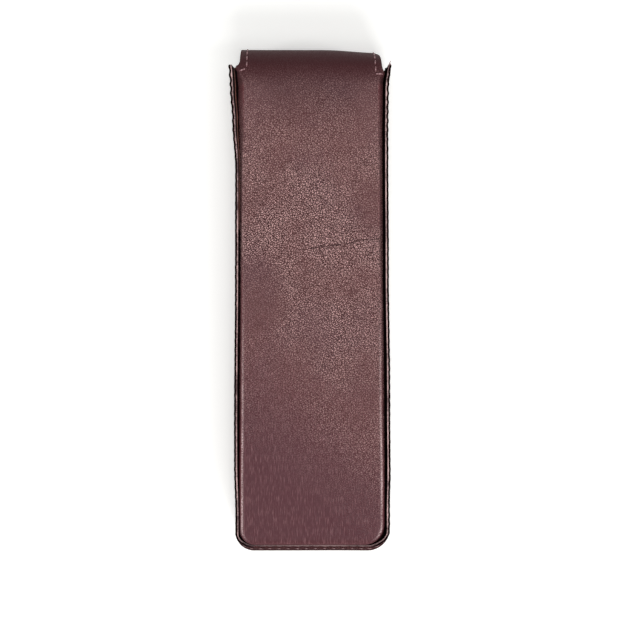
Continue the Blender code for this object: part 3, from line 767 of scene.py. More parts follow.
def nearness(x, s, line, width):
    """One on a line across the leather, easing to nothing this far from it."""
    best = width
    for (ax, a_s), (bx, b_s) in zip(line, line[1:]):
        run_x, run_s = bx - ax, b_s - a_s
        share = ((x - ax) * run_x + (s - a_s) * run_s) / (run_x * run_x + run_s * run_s)
        share = min(1.0, max(0.0, share))
        best = min(best, math.hypot(x - ax - run_x * share, s - a_s - run_s * share))
    return 1 - best / width


def crease_at(x, s):
    """How deep the leather is creased here, from 0 to 1. The same share also sets the painted shade in
    the crease and along the hinge's stitches.
    """
    if s > SEWN_FROM:
        line = HINGE_SEAM_RIGHT if x > 0 else HINGE_SEAM_LEFT
        return nearness(x, s, line, SEAM_WIDTH) * (0.76 + ripple(0.25, s * 900, x, 6.1))
    if not CREASED_FROM < s < CREASED_TO:
        return 0.0
    deep = nearness(x, s, CREASE, CREASE_WIDTH) * (0.91 + 0.09 * smooth(x, -0.007, 0.004))
    for line in SMALL_CREASES:
        deep = max(deep, 0.93 * nearness(x, s, line, SMALL_CREASE_WIDTH))
    return deep


def flap_relief(x, s):
    """Low swells of the stretched leather, and its creases."""
    swell = ripple(0.00006, x * 60, s * 38, 0.3) + ripple(0.000015, x * 160, s * 140, 4.1)
    return swell - CREASE_DEPTH * smooth(crease_at(x, s), 0.45, 1.0)


def pressed_at(x, s):
    """Where the grain was pressed flatter, from 0 to 1."""
    best = 0.0
    for across, along, reach, depth in PRESSED:
        away = math.hypot(x - across, (s - along) * 0.6)
        best = max(best, depth * (1 - smooth(away, reach * 0.35, reach)))
    return best


def flank_shade_at(x, s):
    """One down the flank, where painted shade makes it dark and red under the fold of the edge."""
    fold = along_curve(s, FOLD_RADIUS)
    past = (abs(x) - (flap_half(s, x) - flank_width(s, x) - fold)) / fold
    ends = smooth(s, FLAP_LOW + 0.004, FLAP_LOW + 0.012) * (1 - smooth(s, EAR_S - 0.002, EAR_S))
    return smooth(past, 0.25, 0.70) * ends


def rubbed_highlight_at(x, s):
    """How much painted highlight lies on the fold along the flap's edge here, where rubbing also left
    it glossier, from 0 to 1.
    """
    half = flap_half(s, x)
    radius = FLAP_RADII[0] if x > 0 else FLAP_RADII[1]
    from_side = half - abs(x)
    corner_x, corner_s = abs(x) - (half - radius), (FLAP_LOW + radius) - s
    if corner_x > 0 and corner_s > 0:
        from_side = radius - math.hypot(corner_x, corner_s)
    away = (from_side - RUBBED_HIGHLIGHT_INSET) / RUBBED_HIGHLIGHT_WIDTH
    lower = smooth(-s, -0.012, 0.050) * (1 - smooth(-s, 0.0755, 0.0795))
    upper = 0.12 * smooth(s, -0.02, 0.03) * (1 - smooth(s, 0.060, 0.068))
    patchy = 0.75 + ripple(0.5, x * 40, s * 160, 2.2)
    return max(0.0, min(1.0, math.exp(-away * away) * (lower + upper) * patchy))


def make_flap(leather):
    """The flap's cover and the upper half of the hinge, in one piece."""
    outline = cut_outline(flap_half, CREST_S, FLAP_LOW, FLAP_RADII, FLAP_ROWS, FLAP_COLUMNS)
    cover = shell(
        "flap_cover", leather, outline, FLAP_COLUMNS, flap_section, lift_flap, flap_relief
    )
    flat = [tuple(place.vector)[:2] for place in cover.data.attributes["rest"].data]
    for label, share_at in (
        ("creased", crease_at), ("rubbed", rubbed_highlight_at), ("pressed", pressed_at), ("flanked", flank_shade_at)
    ):
        store(cover.data, label, [share_at(*place) for place in flat])
    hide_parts("flap_leather", "hinge_leather")
    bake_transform(cover)


# Back with the lower half of the hinge
BACK_COLUMNS = 48
BACK_ROWS = [(0.0695, 0.00033), (0.066, 0.0006), (TO_THE_END, 0.0011)]
STRIP_LEFT = 0.0236
STRIP_RIGHT = 0.0221
STRIP_WIDENING = 0.0008
STRIP_START = 0.0705
STRIP_FULL = 0.0760
BACK_GAP = 0.0001
BACK_GROOVE = 0.0005
BACK_SEAM_INSET = 0.00295
BACK_SEAM_Z = 0.00046
BACK_SEAM_START = 0.0045
BACK_SEAM_AHEAD = 0.0004


def back_half(s, side):
    """The back reaches out to the wall, and over the hinge it is as wide as the strip."""
    strip = STRIP_LEFT
    if side > 0:
        strip = STRIP_RIGHT + STRIP_WIDENING * (1 - smooth(s, 0.074, CREST_S))
    wider = foot_half(s, side) - BACK_GAP - strip
    return strip + wider * (1 - smooth(s, STRIP_START, STRIP_FULL))


def back_section(x, s, out_x, out_s):
    """The back's edge, with the groove that its stitches lie in."""
    groove = BACK_GROOVE * (1 - smooth(s, 0.0665, 0.068))
    points = [(0.0042, 0.0), (0.0034, 0.0), (0.0032, groove * 0.5), (0.00285, groove)]
    points += [(0.0025, groove * 0.5), (0.0023, 0.0), (0.0012, 0.0)]
    points += quarter(0.0005, 0.0, 0.0, 4)
    points += [(0.0, 0.0010), (0.00015, PANEL_LEATHER), (0.0022, PANEL_LEATHER)]
    return points


def back_relief(x, s):
    return ripple(0.00005, x * 70, s * 50, 9.3)


def make_back(leather):
    """The back and the lower half of the hinge, in one piece."""
    outline = cut_outline(back_half, CREST_S, LOW_Y, WALL_RADII, BACK_ROWS, BACK_COLUMNS)
    cover = shell(
        "back_cover", leather, outline, BACK_COLUMNS, back_section, lift_back, back_relief
    )
    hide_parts("back_leather", "hinge_leather")
    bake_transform(cover)


# Where on the hide the wall and the pocket's front are cut, far across from the flap
ELSEWHERE = 1.0

# Wall round the sides and the lower end
WALL_FOOT_Z = 0.00125
WALL_TOP_Z = 0.0239
WALL_END_Y = 0.0764
WALL_LOW_Y = LOW_Y - 0.00022
WALL_THICK = 0.00104
WALL_STEP = 0.0005
WALL_COLUMNS = 80
WALL_CORNER_STEPS = 22
END_ROUND = 0.0018
INSIDE_END_Y = WALL_END_Y - 0.0006
SEAM_DROP = 0.0020
SEAM_DROPS = (0.0027, 0.0023, 0.0020, 0.0017, 0.0013, 0.0010, 0.0007)
SEAM_START = 0.0022
SEAM_INSET = 0.00044
SEAM_REACH = 0.0009
SEAM_AHEAD = 0.0003
WALL_BOW = 0.00025
ROLL_IN = 0.0012
LAID_FROM = -0.02
LEATHER, BURNISHED, DYE_AND_SHADE = 0, 1, 2


class Rim:
    """The wall's outline, measured along from its right end."""

    def __init__(self):
        self.places, _ = cut_outline(
            wall_half, WALL_END_Y, WALL_LOW_Y, WALL_RADII, [(TO_THE_END, WALL_STEP)], WALL_COLUMNS,
            WALL_CORNER_STEPS,
        )
        self.runs = [0.0]
        for (ax, ay, *_), (bx, by, *_) in zip(self.places, self.places[1:]):
            self.runs.append(self.runs[-1] + math.hypot(bx - ax, by - ay))

    def at(self, run):
        """The place this far along."""
        run = min(max(run, 0.0), self.runs[-1])
        index = next(index for index in range(1, len(self.runs)) if self.runs[index] >= run)
        share = (run - self.runs[index - 1]) / (self.runs[index] - self.runs[index - 1])
        near, far = self.places[index - 1], self.places[index]
        return tuple(a + (b - a) * share for a, b in zip(near, far))


RIM = Rim()
SEAM_COUNT = round((RIM.runs[-1] - 2 * SEAM_START) / STITCH_PITCH)
SEAM_PITCH = (RIM.runs[-1] - 2 * SEAM_START) / SEAM_COUNT


def wall_rise(y):
    """How far the hinge's outside has risen off the back here."""
    past = max(0.0, y - BEND_Y)
    return BEND - math.sqrt(BEND * BEND - past * past)


def end_drop(y):
    """How far the wall's top edge is rounded down near its free end."""
    short = min(END_ROUND, max(0.0, y - (WALL_END_Y - END_ROUND)))
    return END_ROUND - math.sqrt(END_ROUND * END_ROUND - short * short)


def seam_phase(run):
    """How many stitches lie before this place on the wall."""
    return (run - SEAM_START) / SEAM_PITCH


def seam_pinch(run, z, top):
    """How far the sewing draws the wall in here, most at its holes."""
    from_seam = (z - (top - SEAM_DROP)) / SEAM_REACH
    phase = seam_phase(run)
    if phase < -0.6 or phase > SEAM_COUNT + 0.6:
        return 0.0
    hole = 0.5 + 0.5 * math.cos(2 * math.pi * phase)
    return math.exp(-from_seam * from_seam) * (0.00016 + 0.00020 * hole**2)


def edge_wave(run):
    """The wall's top edge rises a little between its holes."""
    swell = -0.00005 * math.cos(2 * math.pi * seam_phase(run))
    return swell + ripple(0.00016, run * 90, 1.7, 0.0)


def side_wave(run):
    """Seen from above, the edge is drawn in a little at each hole."""
    from_end = min(run, RIM.runs[-1] - run)
    swing = 0.00015 - 0.00010 * smooth(from_end, 0.014, 0.034)
    return swing * math.cos(2 * math.pi * seam_phase(run)) + ripple(0.00009, run * 130, 5.2, 0.0)


def sway(run, z):
    """A hand-made wall is never quite straight."""
    height = (z - WALL_FOOT_Z) / (WALL_TOP_Z - WALL_FOOT_Z)
    bow = WALL_BOW * math.sin(math.pi * min(1.0, max(0.0, height)))
    return bow + ripple(0.00010, run * 45, z * 60, 7.7)


def roll_in(out_y, z=WALL_TOP_Z):
    """At the lower end the wall's top is rolled in to the flap's edge."""
    return ROLL_IN * smooth(-out_y, 0.15, 1.0) * smooth(z, 0.0196, WALL_TOP_Z)


def lean_in(place, z):
    """How far the wall's foot stands in from its top, where the mouth opens out."""
    x, y, out_x, _ = place
    half = wall_half(y, x) - foot_half(y, x)
    return half * abs(out_x) * (1 - smooth(z, 0.0, WALL_TOP_Z - 0.001))


def wall_point(place, run, inset, z):
    """A point of the wall, with its sway, its lean and its roll inwards."""
    x, y, out_x, out_y = place
    out = sway(run, z) - inset - roll_in(out_y, z) - lean_in(place, z)
    return x + out_x * out, y + out_y * out, z


def put_ring(sheet, place, run, section, level=0):
    """Puts a section of the wall or the rim at its place, laid flat by how far along and
    how far up it is. Its last points, as many as level says, lie flat as they are."""
    ring = []
    length = 0.0
    for index, (inset, z) in enumerate(section):
        if index:
            length += math.hypot(inset - section[index - 1][0], z - section[index - 1][1])
        point = wall_point(place, run, inset, z)
        flat = (run, length + LAID_FROM) if index < len(section) - level else point[:2]
        ring.append(sheet.put(point, (flat[0] + ELSEWHERE, flat[1], 0.0)))
    return ring


def lower_outline_shade_at(x, y, z):
    """How much painted shade darkens the rolled top of the wall at the lower end, and its corners, from
    0 to 1.
    """
    corner = smooth(abs(x), 0.0165, 0.0215) * smooth(z, WALL_TOP_Z - 0.0016, WALL_TOP_Z - 0.0010)
    thin = 0.40 * smooth(z, 0.0186, 0.0200)
    thick = 0.45 * smooth(z, 0.0186, 0.0196) * (1 - smooth(z, 0.0202, 0.0210))
    return smooth(-y, 0.0770, 0.0808) * max(thin + thick, corner)


def wall_section(y, run):
    """Bands of the wall here, outside to inside: each a finish and (inset, height) points."""
    top = WALL_TOP_Z - end_drop(y) + edge_wave(run)
    foot = WALL_FOOT_Z + wall_rise(y)
    wave = side_wave(run)
    outside = [(0.0007, foot), (0.0002, foot + 0.0001), (0.0, foot + 0.0006)]
    low, high = foot + 0.0012, top - 0.0058
    outside += [(0.0, low + (high - low) * step / 6) for step in range(7)]
    outside += [(0.0, top - 0.0044), (0.0, top - 0.0034)]
    for drop in SEAM_DROPS:
        z = top - drop
        outside.append((seam_pinch(run, z, top) + wave * smooth(-drop, -0.0016, -0.0007), z))
    return (
        (LEATHER, outside[:-3]),
        # Dark edge dye, made darker as painted shade for the outline outside the burnished line.
        (DYE_AND_SHADE, [*outside[-3:], (0.00002 + wave, top - 0.00044), (0.00012 + wave, top - 0.00014)]),
        (BURNISHED, [(0.00066 + wave, top), (0.00084, top + 0.00004)]),
        # Dark edge dye and painted shade on the inner corner, towards the gap by the flap.
        (DYE_AND_SHADE, [
            (0.00101, top), (WALL_THICK, top - 0.00012), (WALL_THICK, top - 0.0005),
            (WALL_THICK, top - 0.0010),
        ]),
        (LEATHER, [
            (WALL_THICK, top - 0.0045), (WALL_THICK, foot + 0.001), (WALL_THICK - 0.0001, foot),
        ]),
    )


def make_wall(leather, edge, dye_and_shade):
    """Wall leather: round foot on the back, stitched top, its cut edge burnished round."""
    sheet = Sheet()
    rings = []
    for place, run in zip(RIM.places, RIM.runs):
        bands = wall_section(place[1], run)
        section = [point for _, points in bands for point in points]
        rings.append(put_ring(sheet, place, run, section))
    finishes = [finish for finish, points in bands for _ in points]
    outer_dark = len(bands[0][1])
    facing = [place[3] < -0.85 for place in RIM.places]
    first, last = facing.index(True), len(facing) - facing[::-1].index(True)
    for label, finish in enumerate(finishes):
        following = (label + 1) % len(finishes)
        bare = LEATHER if outer_dark <= label < outer_dark + len(bands[1][1]) else finish
        for start, end, zone in ((0, first, finish), (first, last, bare), (last, len(rings), finish)):
            part = rings[start : end + 1]
            sheet.strip([ring[label] for ring in part], [ring[following] for ring in part], zone)
    for ring in (rings[0], rings[-1]):
        sheet.zones[len(sheet.faces)] = DYE_AND_SHADE
        sheet.faces.append(tuple(ring))
    wall = sheet.object("wall", [leather, edge, dye_and_shade])
    store(wall.data, "run_over", [lower_outline_shade_at(*vertex.co) for vertex in wall.data.vertices])
    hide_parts("side_wall")
    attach(wall, "case")


# Front of the pocket, with the rim that is turned up inside the wall
TRAY_TOP_Z = 0.0212
TRAY_UNDER_Z = 0.0202
RIM_DROP = 0.0009
RIM_FILL = 0.0005
MOUTH_Y = 0.0655
NOTCH_RADIUS = 0.0085
NOTCH_SOFT = 0.00025
NOTCH_STEPS = 40
ROUGH_FROM_Y = 0.022
SUEDED = 1


def tray_section(place, run):
    """The rim and the floor's edge here, as (inset, height) points, outside to inside."""
    x, y, _, out_y = place
    flare = smooth(y, 0.026, 0.07) if x < 0 else 0.0
    out = WALL_THICK + 0.00004 + 0.00045 * flare
    inside = out + RIM_LEATHER
    top = WALL_TOP_Z - RIM_DROP - 0.0004 * flare - end_drop(y + 0.0006) + edge_wave(run)
    top += ripple(0.00012 + 0.00018 * flare, run * 700, 3.3, 0.0) - roll_in(out_y)
    return [
        (out, TRAY_UNDER_Z),
        (out, (TRAY_TOP_Z + top) / 2),
        (out, top - 0.0002),
        (out + 0.0001, top),
        (inside - 0.0001, top - 0.0001),
        (inside, top - 0.0003),
        (inside, (TRAY_TOP_Z + RIM_FILL + top - 0.0003) / 2),
        (inside, TRAY_TOP_Z + RIM_FILL),
        (inside + RIM_FILL * 0.3, TRAY_TOP_Z + RIM_FILL * 0.3),
        (inside + RIM_FILL, TRAY_TOP_Z),
        (inside + RIM_FILL, TRAY_UNDER_Z),
    ]


def make_tray(leather, suede, dye_and_shade):
    """Front of the pocket: a floor under the flap, with a rim turned up inside the wall
    and a notch at its mouth for a fingertip."""
    sheet = Sheet()
    kept = [(place, run) for place, run in zip(RIM.places, RIM.runs) if place[1] <= INSIDE_END_Y]
    rings = [put_ring(sheet, place, run, tray_section(place, run), level=2) for place, run in kept]
    rough_from = sum(1 for place, _ in kept if place[0] > 0 or place[1] < ROUGH_FROM_Y)
    for label in range(len(rings[0]) - 2):
        # The rim's crown takes the dark edge dye, as painted shade in the gap under the flap.
        zone = DYE_AND_SHADE if 1 <= label <= 8 else LEATHER
        rough = SUEDED if 2 <= label <= 6 else zone
        line, after = [ring[label] for ring in rings], [ring[label + 1] for ring in rings]
        sheet.strip(line[: rough_from + 1], after[: rough_from + 1], zone)
        sheet.strip(line[rough_from:], after[rough_from:], rough)
    sheet.strip([ring[-1] for ring in rings], [ring[0] for ring in rings])
    sheet.faces += [tuple(rings[0]), tuple(rings[-1])]
    floored = [index for index, (place, _) in enumerate(kept) if place[1] <= MOUTH_Y]
    for free in (range(floored[0] + 1), range(floored[-1], len(rings))):
        sheet.strip([rings[index][-2] for index in free], [rings[index][-1] for index in free])
    mouth = []
    for grown, z in (
        (0.0, TRAY_TOP_Z - NOTCH_SOFT), (NOTCH_SOFT, TRAY_TOP_Z),
        (0.0, TRAY_UNDER_Z + NOTCH_SOFT), (NOTCH_SOFT, TRAY_UNDER_Z),
    ):
        line = []
        for step in range(NOTCH_STEPS + 1):
            turn = math.pi * step / NOTCH_STEPS
            radius = NOTCH_RADIUS + grown
            x, y = -radius * math.cos(turn), MOUTH_Y - radius * math.sin(turn)
            line.append(sheet.put((x, y, z), (x + ELSEWHERE, y, 0.0)))
        mouth.append(line)
    lip, floor, lower_lip, under = mouth
    sheet.faces.append(tuple([rings[index][-2] for index in floored] + floor))
    sheet.faces.append(tuple([rings[index][-1] for index in floored] + under))
    for upper, lower in ((floor, lip), (lip, lower_lip), (lower_lip, under)):
        sheet.strip(upper, lower, DYE_AND_SHADE)
    for index, end in ((floored[-1], 0), (floored[0], -1)):
        notch_end = (floor[end], lip[end], lower_lip[end], under[end])
        sheet.faces.append((rings[index][-2], *notch_end, rings[index][-1]))
    tray = sheet.object("pocket_tray", [leather, suede, dye_and_shade], sharp=40)
    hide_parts("pocket_front")
    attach(tray, "case")


# Linings and boards
LINING_HALF = 0.0221
LINING_OVERLAP = 0.0002
LINING_STEP = 0.0006
LINING_COLUMNS = 40
LAYER_COLUMNS = 24
LAYER_ROWS = [(TO_THE_END, 0.002)]
LAYER_RADII = (0.0062, 0.0052)
LAYER_SOFT = 0.00025
LAYER_GAP = 0.0004
WALL_INSET = 0.0021
WALL_LINING_Z = (0.0031, 0.0183)
WALL_LINING_CROWN = 0.0001
FLAP_INSET_RIGHT = 0.00235
FLAP_INSET_LEFT = 0.0029
SEAT_GAP = 0.00008
SEAT_SIDES = 64
EVEN_FROM = 0.06


def make_ribbon(name, material, start, lift):
    """A strip of lining that follows the hinge to its crest, with soft rounded edges."""
    sheet = Sheet()
    low, high = PANEL_LEATHER + GLUE_LINE, PANEL_LEATHER + GLUE_LINE + LINING
    soft = LINING / 2
    edge = [(soft * 0.3, low + soft * 0.3), (0.0, low + soft), (soft * 0.3, high - soft * 0.3)]
    outline = [(LINING_HALF - inset, depth) for inset, depth in edge]
    shares = [column / LINING_COLUMNS for column in range(LINING_COLUMNS + 1)]
    across = [(2 * share - 1) * (LINING_HALF - soft) for share in shares]
    outline += [(x, high) for x in reversed(across)]
    outline += [(inset - LINING_HALF, depth) for inset, depth in reversed(edge)]
    outline += [(x, low) for x in across]
    count = max(2, round((CREST_S - start) / LINING_STEP))
    rings = []
    for step in range(count + 1):
        s = start + (CREST_S - start) * step / count
        rings.append([sheet.put(lift(x, s, depth), (x, s, depth)) for x, depth in outline])
    sheet.tube(rings)
    return sheet.object(name, [material])


def make_linings(suede):
    """The hinge's lining, in a half on each side of the crest."""
    upper = make_ribbon("hinge_lining_upper", suede, BEND_Y - LINING_OVERLAP, lift_flap)
    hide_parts("hinge_lining_flap", "hinge_lining")
    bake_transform(upper)
    lower = make_ribbon("hinge_lining_lower", suede, BEND_Y + LINING_OVERLAP, lift_back)
    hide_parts("hinge_lining_back", "hinge_lining")
    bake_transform(lower)


def punch(layer, node):
    """Takes the round seat of a magnet out of a board, from below."""
    low, high = (Vector(corner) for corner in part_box(node))
    deep = high.z - low.z + 2 * GLUE_LINE
    radius = (high.x - low.x) / 2 + SEAT_GAP
    middle = (low + high) / 2
    middle.z = low.z + deep / 2 - GLUE_LINE
    shape = bmesh.new()
    bmesh.ops.create_cone(
        shape, cap_ends=True, segments=SEAT_SIDES, radius1=radius, radius2=radius, depth=deep,
        matrix=Matrix.Translation(middle),
    )
    mesh = bpy.data.meshes.new("punch")
    shape.to_mesh(mesh)
    shape.free()
    cutter = add_object("punch", mesh)
    modifier = layer.modifiers.new("seat", "BOOLEAN")
    modifier.operation = "DIFFERENCE"
    modifier.solver = "EXACT"
    modifier.object = cutter
    graph = bpy.context.evaluated_depsgraph_get()
    layer.data = bpy.data.meshes.new_from_object(layer.evaluated_get(graph))
    layer.modifiers.clear()
    bpy.data.objects.remove(cutter, do_unlink=True)


def make_layer(name, node, material, half, top, low_z, high_z, relief=None):
    """A flat layer of board or suede with softly rounded edges, that a node stands for."""
    thick = high_z - low_z
    soft = min(thick * 0.45, LAYER_SOFT)
    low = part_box(node)[0][1] + LAYER_GAP

    def section(x, s, out_x, out_s):
        points = [(soft, 0.0), (soft * 0.3, soft * 0.3), (0.0, soft), (0.0, thick - soft)]
        return points + [(soft * 0.3, thick - soft * 0.3), (soft, thick)]

    def lift(x, s, depth):
        return x, s, high_z - depth

    outline = cut_outline(half, top, low, LAYER_RADII, LAYER_ROWS, LAYER_COLUMNS)
    layer = shell(name, material, outline, LAYER_COLUMNS, section, lift, relief)
    if node in ("flap_board", "pocket_board"):
        for side in ("left", "right"):
            punch(layer, node.replace("board", "magnet_") + side)
    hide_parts(node)
    return layer


def magnet_swell(x, s):
    """The lining stands up a little over the two hidden magnets."""
    from_middle = math.hypot(abs(x) - 0.012, s + 0.0598)
    swell = 0.00012 * (1 - smooth(from_middle, 0.0044, 0.0058))
    return swell + ripple(0.00004, x * 90, s * 60, 6.6)


def under_flap(s, side):
    inset = FLAP_INSET_RIGHT if side > 0 else FLAP_INSET_LEFT
    return flap_half(min(s, EVEN_FROM), side) - inset


def in_wall(s, side):
    return foot_half(s, side) - WALL_INSET


def make_layers(suede, board):
    """Boards and linings, cut to the wall and the flap as they really stand."""
    for name, node, half, top, low_z, high_z, relief, body in (
        ("flap_stiffener", "flap_board", under_flap, 0.0697, 0.0222, 0.0236, None, "flap"),
        ("flap_suede", "flap_lining", under_flap, 0.0697, 0.0215, 0.0220, magnet_swell, "flap"),
        ("back_suede", "back_lining", in_wall, 0.0700, 0.0024, 0.0029, None, "case"),
        ("pocket_suede", "pocket_lining", in_wall, 0.0567, 0.0185, 0.0190, None, "case"),
        ("pocket_stiffener", "pocket_board", in_wall, 0.0567, 0.0192, 0.0200, None, "case"),
    ):
        stiff = node.endswith("board")
        layer = make_layer(name, node, board if stiff else suede, half, top, low_z, high_z, relief)
        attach(layer, body)


def make_wall_lining(suede):
    """Suede glued round the inside of the wall, its top edge turned soft."""
    sheet = Sheet()
    out, inner = WALL_THICK + GLUE_LINE, WALL_THICK + GLUE_LINE + LINING
    low, high = WALL_LINING_Z
    up = [low + (high - low) * step / 6 for step in range(7)]
    section = [(out, z) for z in up]
    section += [(out + LINING * share, high + WALL_LINING_CROWN) for share in (0.2, 0.8)]
    section += [(inner, z) for z in reversed(up)]
    sheet.tube([
        [sheet.put(wall_point(place, run, inset, z), (run, z, 0.0)) for inset, z in section]
        for place, run in zip(RIM.places, RIM.runs) if place[1] <= INSIDE_END_Y
    ])
    lining = sheet.object("wall_suede", [suede])
    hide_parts("side_wall_lining")
    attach(lining, "case")


def make_divider(suede):
    """The upright between the pens, skived thin, with a foot at its back and front."""
    (_, start, low), (_, end, high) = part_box("pen_divider")
    foot, web, thin = 0.0025, 0.0006, 0.0005
    half = [(foot - 0.0002, low), (foot, low + 0.0002), (foot - 0.0005, low + thin * 0.8)]
    half += [(web + 0.0007, low + thin), (web + 0.0002, low + thin + 0.0002)]
    half += [(web, low + thin + 0.0007)]
    middle = (low + high) / 2
    right = half + [(web, middle)] + [(x, low + high - z) for x, z in reversed(half)]
    section = right + [(-x, z) for x, z in reversed(right)]
    sheet = Sheet()
    rings = []
    count = 60
    for step in range(count + 1):
        y = start + (end - start) * step / count
        tuck = 1 if 0 < step < count else 0.75
        bend = ripple(0.00025, y * 45, 0.4, 8.8)
        ring = []
        for x, z in section:
            mid = 1 - abs(z - middle) / (middle - low)
            ring.append(sheet.put((x * tuck + bend * mid, y, z), (x + z, y, 0.0)))
        rings.append(ring)
    sheet.tube(rings)
    divider = sheet.object("divider", [suede], sharp=60)
    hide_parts("pen_divider")
    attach(divider, "case")


def wear(node, material):
    """Gives a CAD node its finish."""
    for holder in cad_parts[node].material_slots:
        holder.material = material


# Stitches
def stitch_mesh():
    """One stitch: a short run of thread that bows up out of two holes."""
    mesh = bpy.data.meshes.new("stitch")
    shape = bmesh.new()
    rings = []
    twist = []
    for row in range(STITCH_ROWS):
        share = row / (STITCH_ROWS - 1)
        along = (share - 0.5) * STITCH_LENGTH
        rise = THREAD * (0.62 * math.sin(math.pi * share) ** 0.6 - 0.42)
        thick = THREAD / 2 * (0.55 + 0.45 * math.sin(math.pi * share) ** 0.5)
        ring = []
        for side in range(THREAD_SIDES):
            turn = 2 * math.pi * side / THREAD_SIDES
            point = (along, thick * math.cos(turn), rise + thick * math.sin(turn))
            ring.append(shape.verts.new(point))
            twist.append((share * 1.4, side / THREAD_SIDES * 0.35, 0.0))
        rings.append(ring)
    for near, far in zip(rings, rings[1:]):
        for side in range(THREAD_SIDES):
            after = (side + 1) % THREAD_SIDES
            shape.faces.new((near[side], near[after], far[after], far[side]))
    shape.faces.new(rings[0])
    shape.faces.new(rings[-1])
    bmesh.ops.recalc_face_normals(shape, faces=shape.faces)
    shape.to_mesh(mesh)
    shape.free()
    store(mesh, "twist", twist)
    mesh.shade_smooth()
    return mesh


def stitch_tree(stitch, thread):
    """Sets a stitch on each point, along its seam and square to the leather, each turned
    and sized a little by hand."""
    tree = bpy.data.node_groups.new("row of stitches", "GeometryNodeTree")
    face = tree.interface
    face.new_socket("Holes", in_out="INPUT", socket_type="NodeSocketGeometry")
    wobble = face.new_socket("Wobble", in_out="INPUT", socket_type="NodeSocketFloat")
    spread = face.new_socket("Size spread", in_out="INPUT", socket_type="NodeSocketFloat")
    seed = face.new_socket("Seed", in_out="INPUT", socket_type="NodeSocketInt")
    face.new_socket("Stitches", in_out="OUTPUT", socket_type="NodeSocketGeometry")
    entry = add(tree, "NodeGroupInput").outputs
    single = add(tree, "GeometryNodeObjectInfo", {"Object": stitch}).outputs["Geometry"]
    ways = add_each(
        tree, "GeometryNodeInputNamedAttribute", ("Name",), {"out": ("out",), "seam": ("seam",)},
        data_type="FLOAT_VECTOR",
    )
    square = {"Vector": ways["out"]}
    square = add(tree, "FunctionNodeAlignRotationToVector", square, axis="Z")
    aligned = {"Rotation": square, "Vector": ways["seam"]}
    aligned = add(tree, "FunctionNodeAlignRotationToVector", aligned, axis="X", pivot_axis="Z")
    minus = add(tree, "ShaderNodeMath", {0: entry["Wobble"], 1: -1.0}, operation="MULTIPLY")
    least = add(tree, "ShaderNodeMath", {0: 1.0, 1: entry["Size spread"]}, operation="SUBTRACT")
    most = add(tree, "ShaderNodeMath", {0: 1.0, 1: entry["Size spread"]}, operation="ADD")
    chance = add_each(tree, "FunctionNodeRandomValue", (2, 3, "Seed"), {
        "turn": (minus, entry["Wobble"], entry["Seed"]),
        "size": (least, most, entry["Seed"]),
    }, data_type="FLOAT")
    spin = add(tree, "ShaderNodeCombineXYZ", {"Z": chance["turn"]})
    turned = {"Rotation": aligned, "Rotate By": spin}
    turned = add(tree, "FunctionNodeRotateRotation", turned, rotation_space="LOCAL")
    placed = {
        "Points": entry["Holes"], "Instance": single, "Rotation": turned, "Scale": chance["size"],
    }
    placed = add(tree, "GeometryNodeInstanceOnPoints", placed)
    real = add(tree, "GeometryNodeRealizeInstances", {"Geometry": placed})
    finished = add(tree, "GeometryNodeSetMaterial", {"Geometry": real, "Material": thread})
    add(tree, "NodeGroupOutput", {"Stitches": finished})
    return tree, {"wobble": wobble.identifier, "spread": spread.identifier, "seed": seed.identifier}


class Sewing:
    """Rows of stitches made from one stitch."""

    def __init__(self, thread):
        self.stitch = add_object("stitch", stitch_mesh())
        self.tree, self.sockets = stitch_tree(self.stitch, thread)

    def row(self, name, places, seed, wobble=0.10, spread=0.06):
        """Stitches at places, each a point, the way out of the leather and the seam's way."""
        mesh = bpy.data.meshes.new(name)
        mesh.from_pydata([tuple(point) for point, *_ in places], [], [])
        store(mesh, "out", [out for _, out, _ in places])
        store(mesh, "seam", [seam for *_, seam in places])
        holder = add_object(name + " holes", mesh)
        modifier = holder.modifiers.new("stitches", "NODES")
        modifier.node_group = self.tree
        for label, value in (("wobble", wobble), ("spread", spread), ("seed", seed)):
            modifier[self.sockets[label]] = value
        graph = bpy.context.evaluated_depsgraph_get()
        final = bpy.data.meshes.new_from_object(holder.evaluated_get(graph))
        final.name = name
        holder.modifiers.clear()
        bpy.data.objects.remove(holder, do_unlink=True)
        final.shade_smooth()
        made = add_object(name, final)
        return made

    def done(self):
        bpy.data.objects.remove(self.stitch, do_unlink=True)


def frame_of(point, ahead, out):
    """A stitch's place from its middle, a point further along and the way out."""
    seam = (Vector(ahead) - Vector(point)).normalized()
    return Vector(point), Vector(out).normalized(), seam


def wall_seam():
    """Places of the stitches along the wall's top, on its outside."""
    places = []
    for index in range(SEAM_COUNT):
        run = SEAM_START + SEAM_PITCH * (index + 0.5)
        here, ahead = RIM.at(run), RIM.at(run + SEAM_AHEAD)
        z = WALL_TOP_Z - end_drop(here[1]) - SEAM_DROP
        point = wall_point(here, run, SEAM_INSET, z)
        far = wall_point(ahead, run + SEAM_AHEAD, SEAM_INSET, z + SEAM_AHEAD / 3)
        places.append(frame_of(point, far, (here[2], here[3], 0)))
    return places


def back_seam():
    """Places of the stitches down in the back's groove."""
    places = []
    start = BACK_SEAM_START + WALL_END_Y - BEND_Y
    length = RIM.runs[-1] - 2 * start
    count = round(length / STITCH_PITCH)
    for index in range(count):
        run = start + length / count * (index + 0.5)
        point, far = (
            (x - out_x * BACK_SEAM_INSET, y - out_y * BACK_SEAM_INSET, BACK_SEAM_Z)
            for x, y, out_x, out_y in (RIM.at(run), RIM.at(run + BACK_SEAM_AHEAD))
        )
        places.append(frame_of(point, far, (0, 0, -1)))
    return places


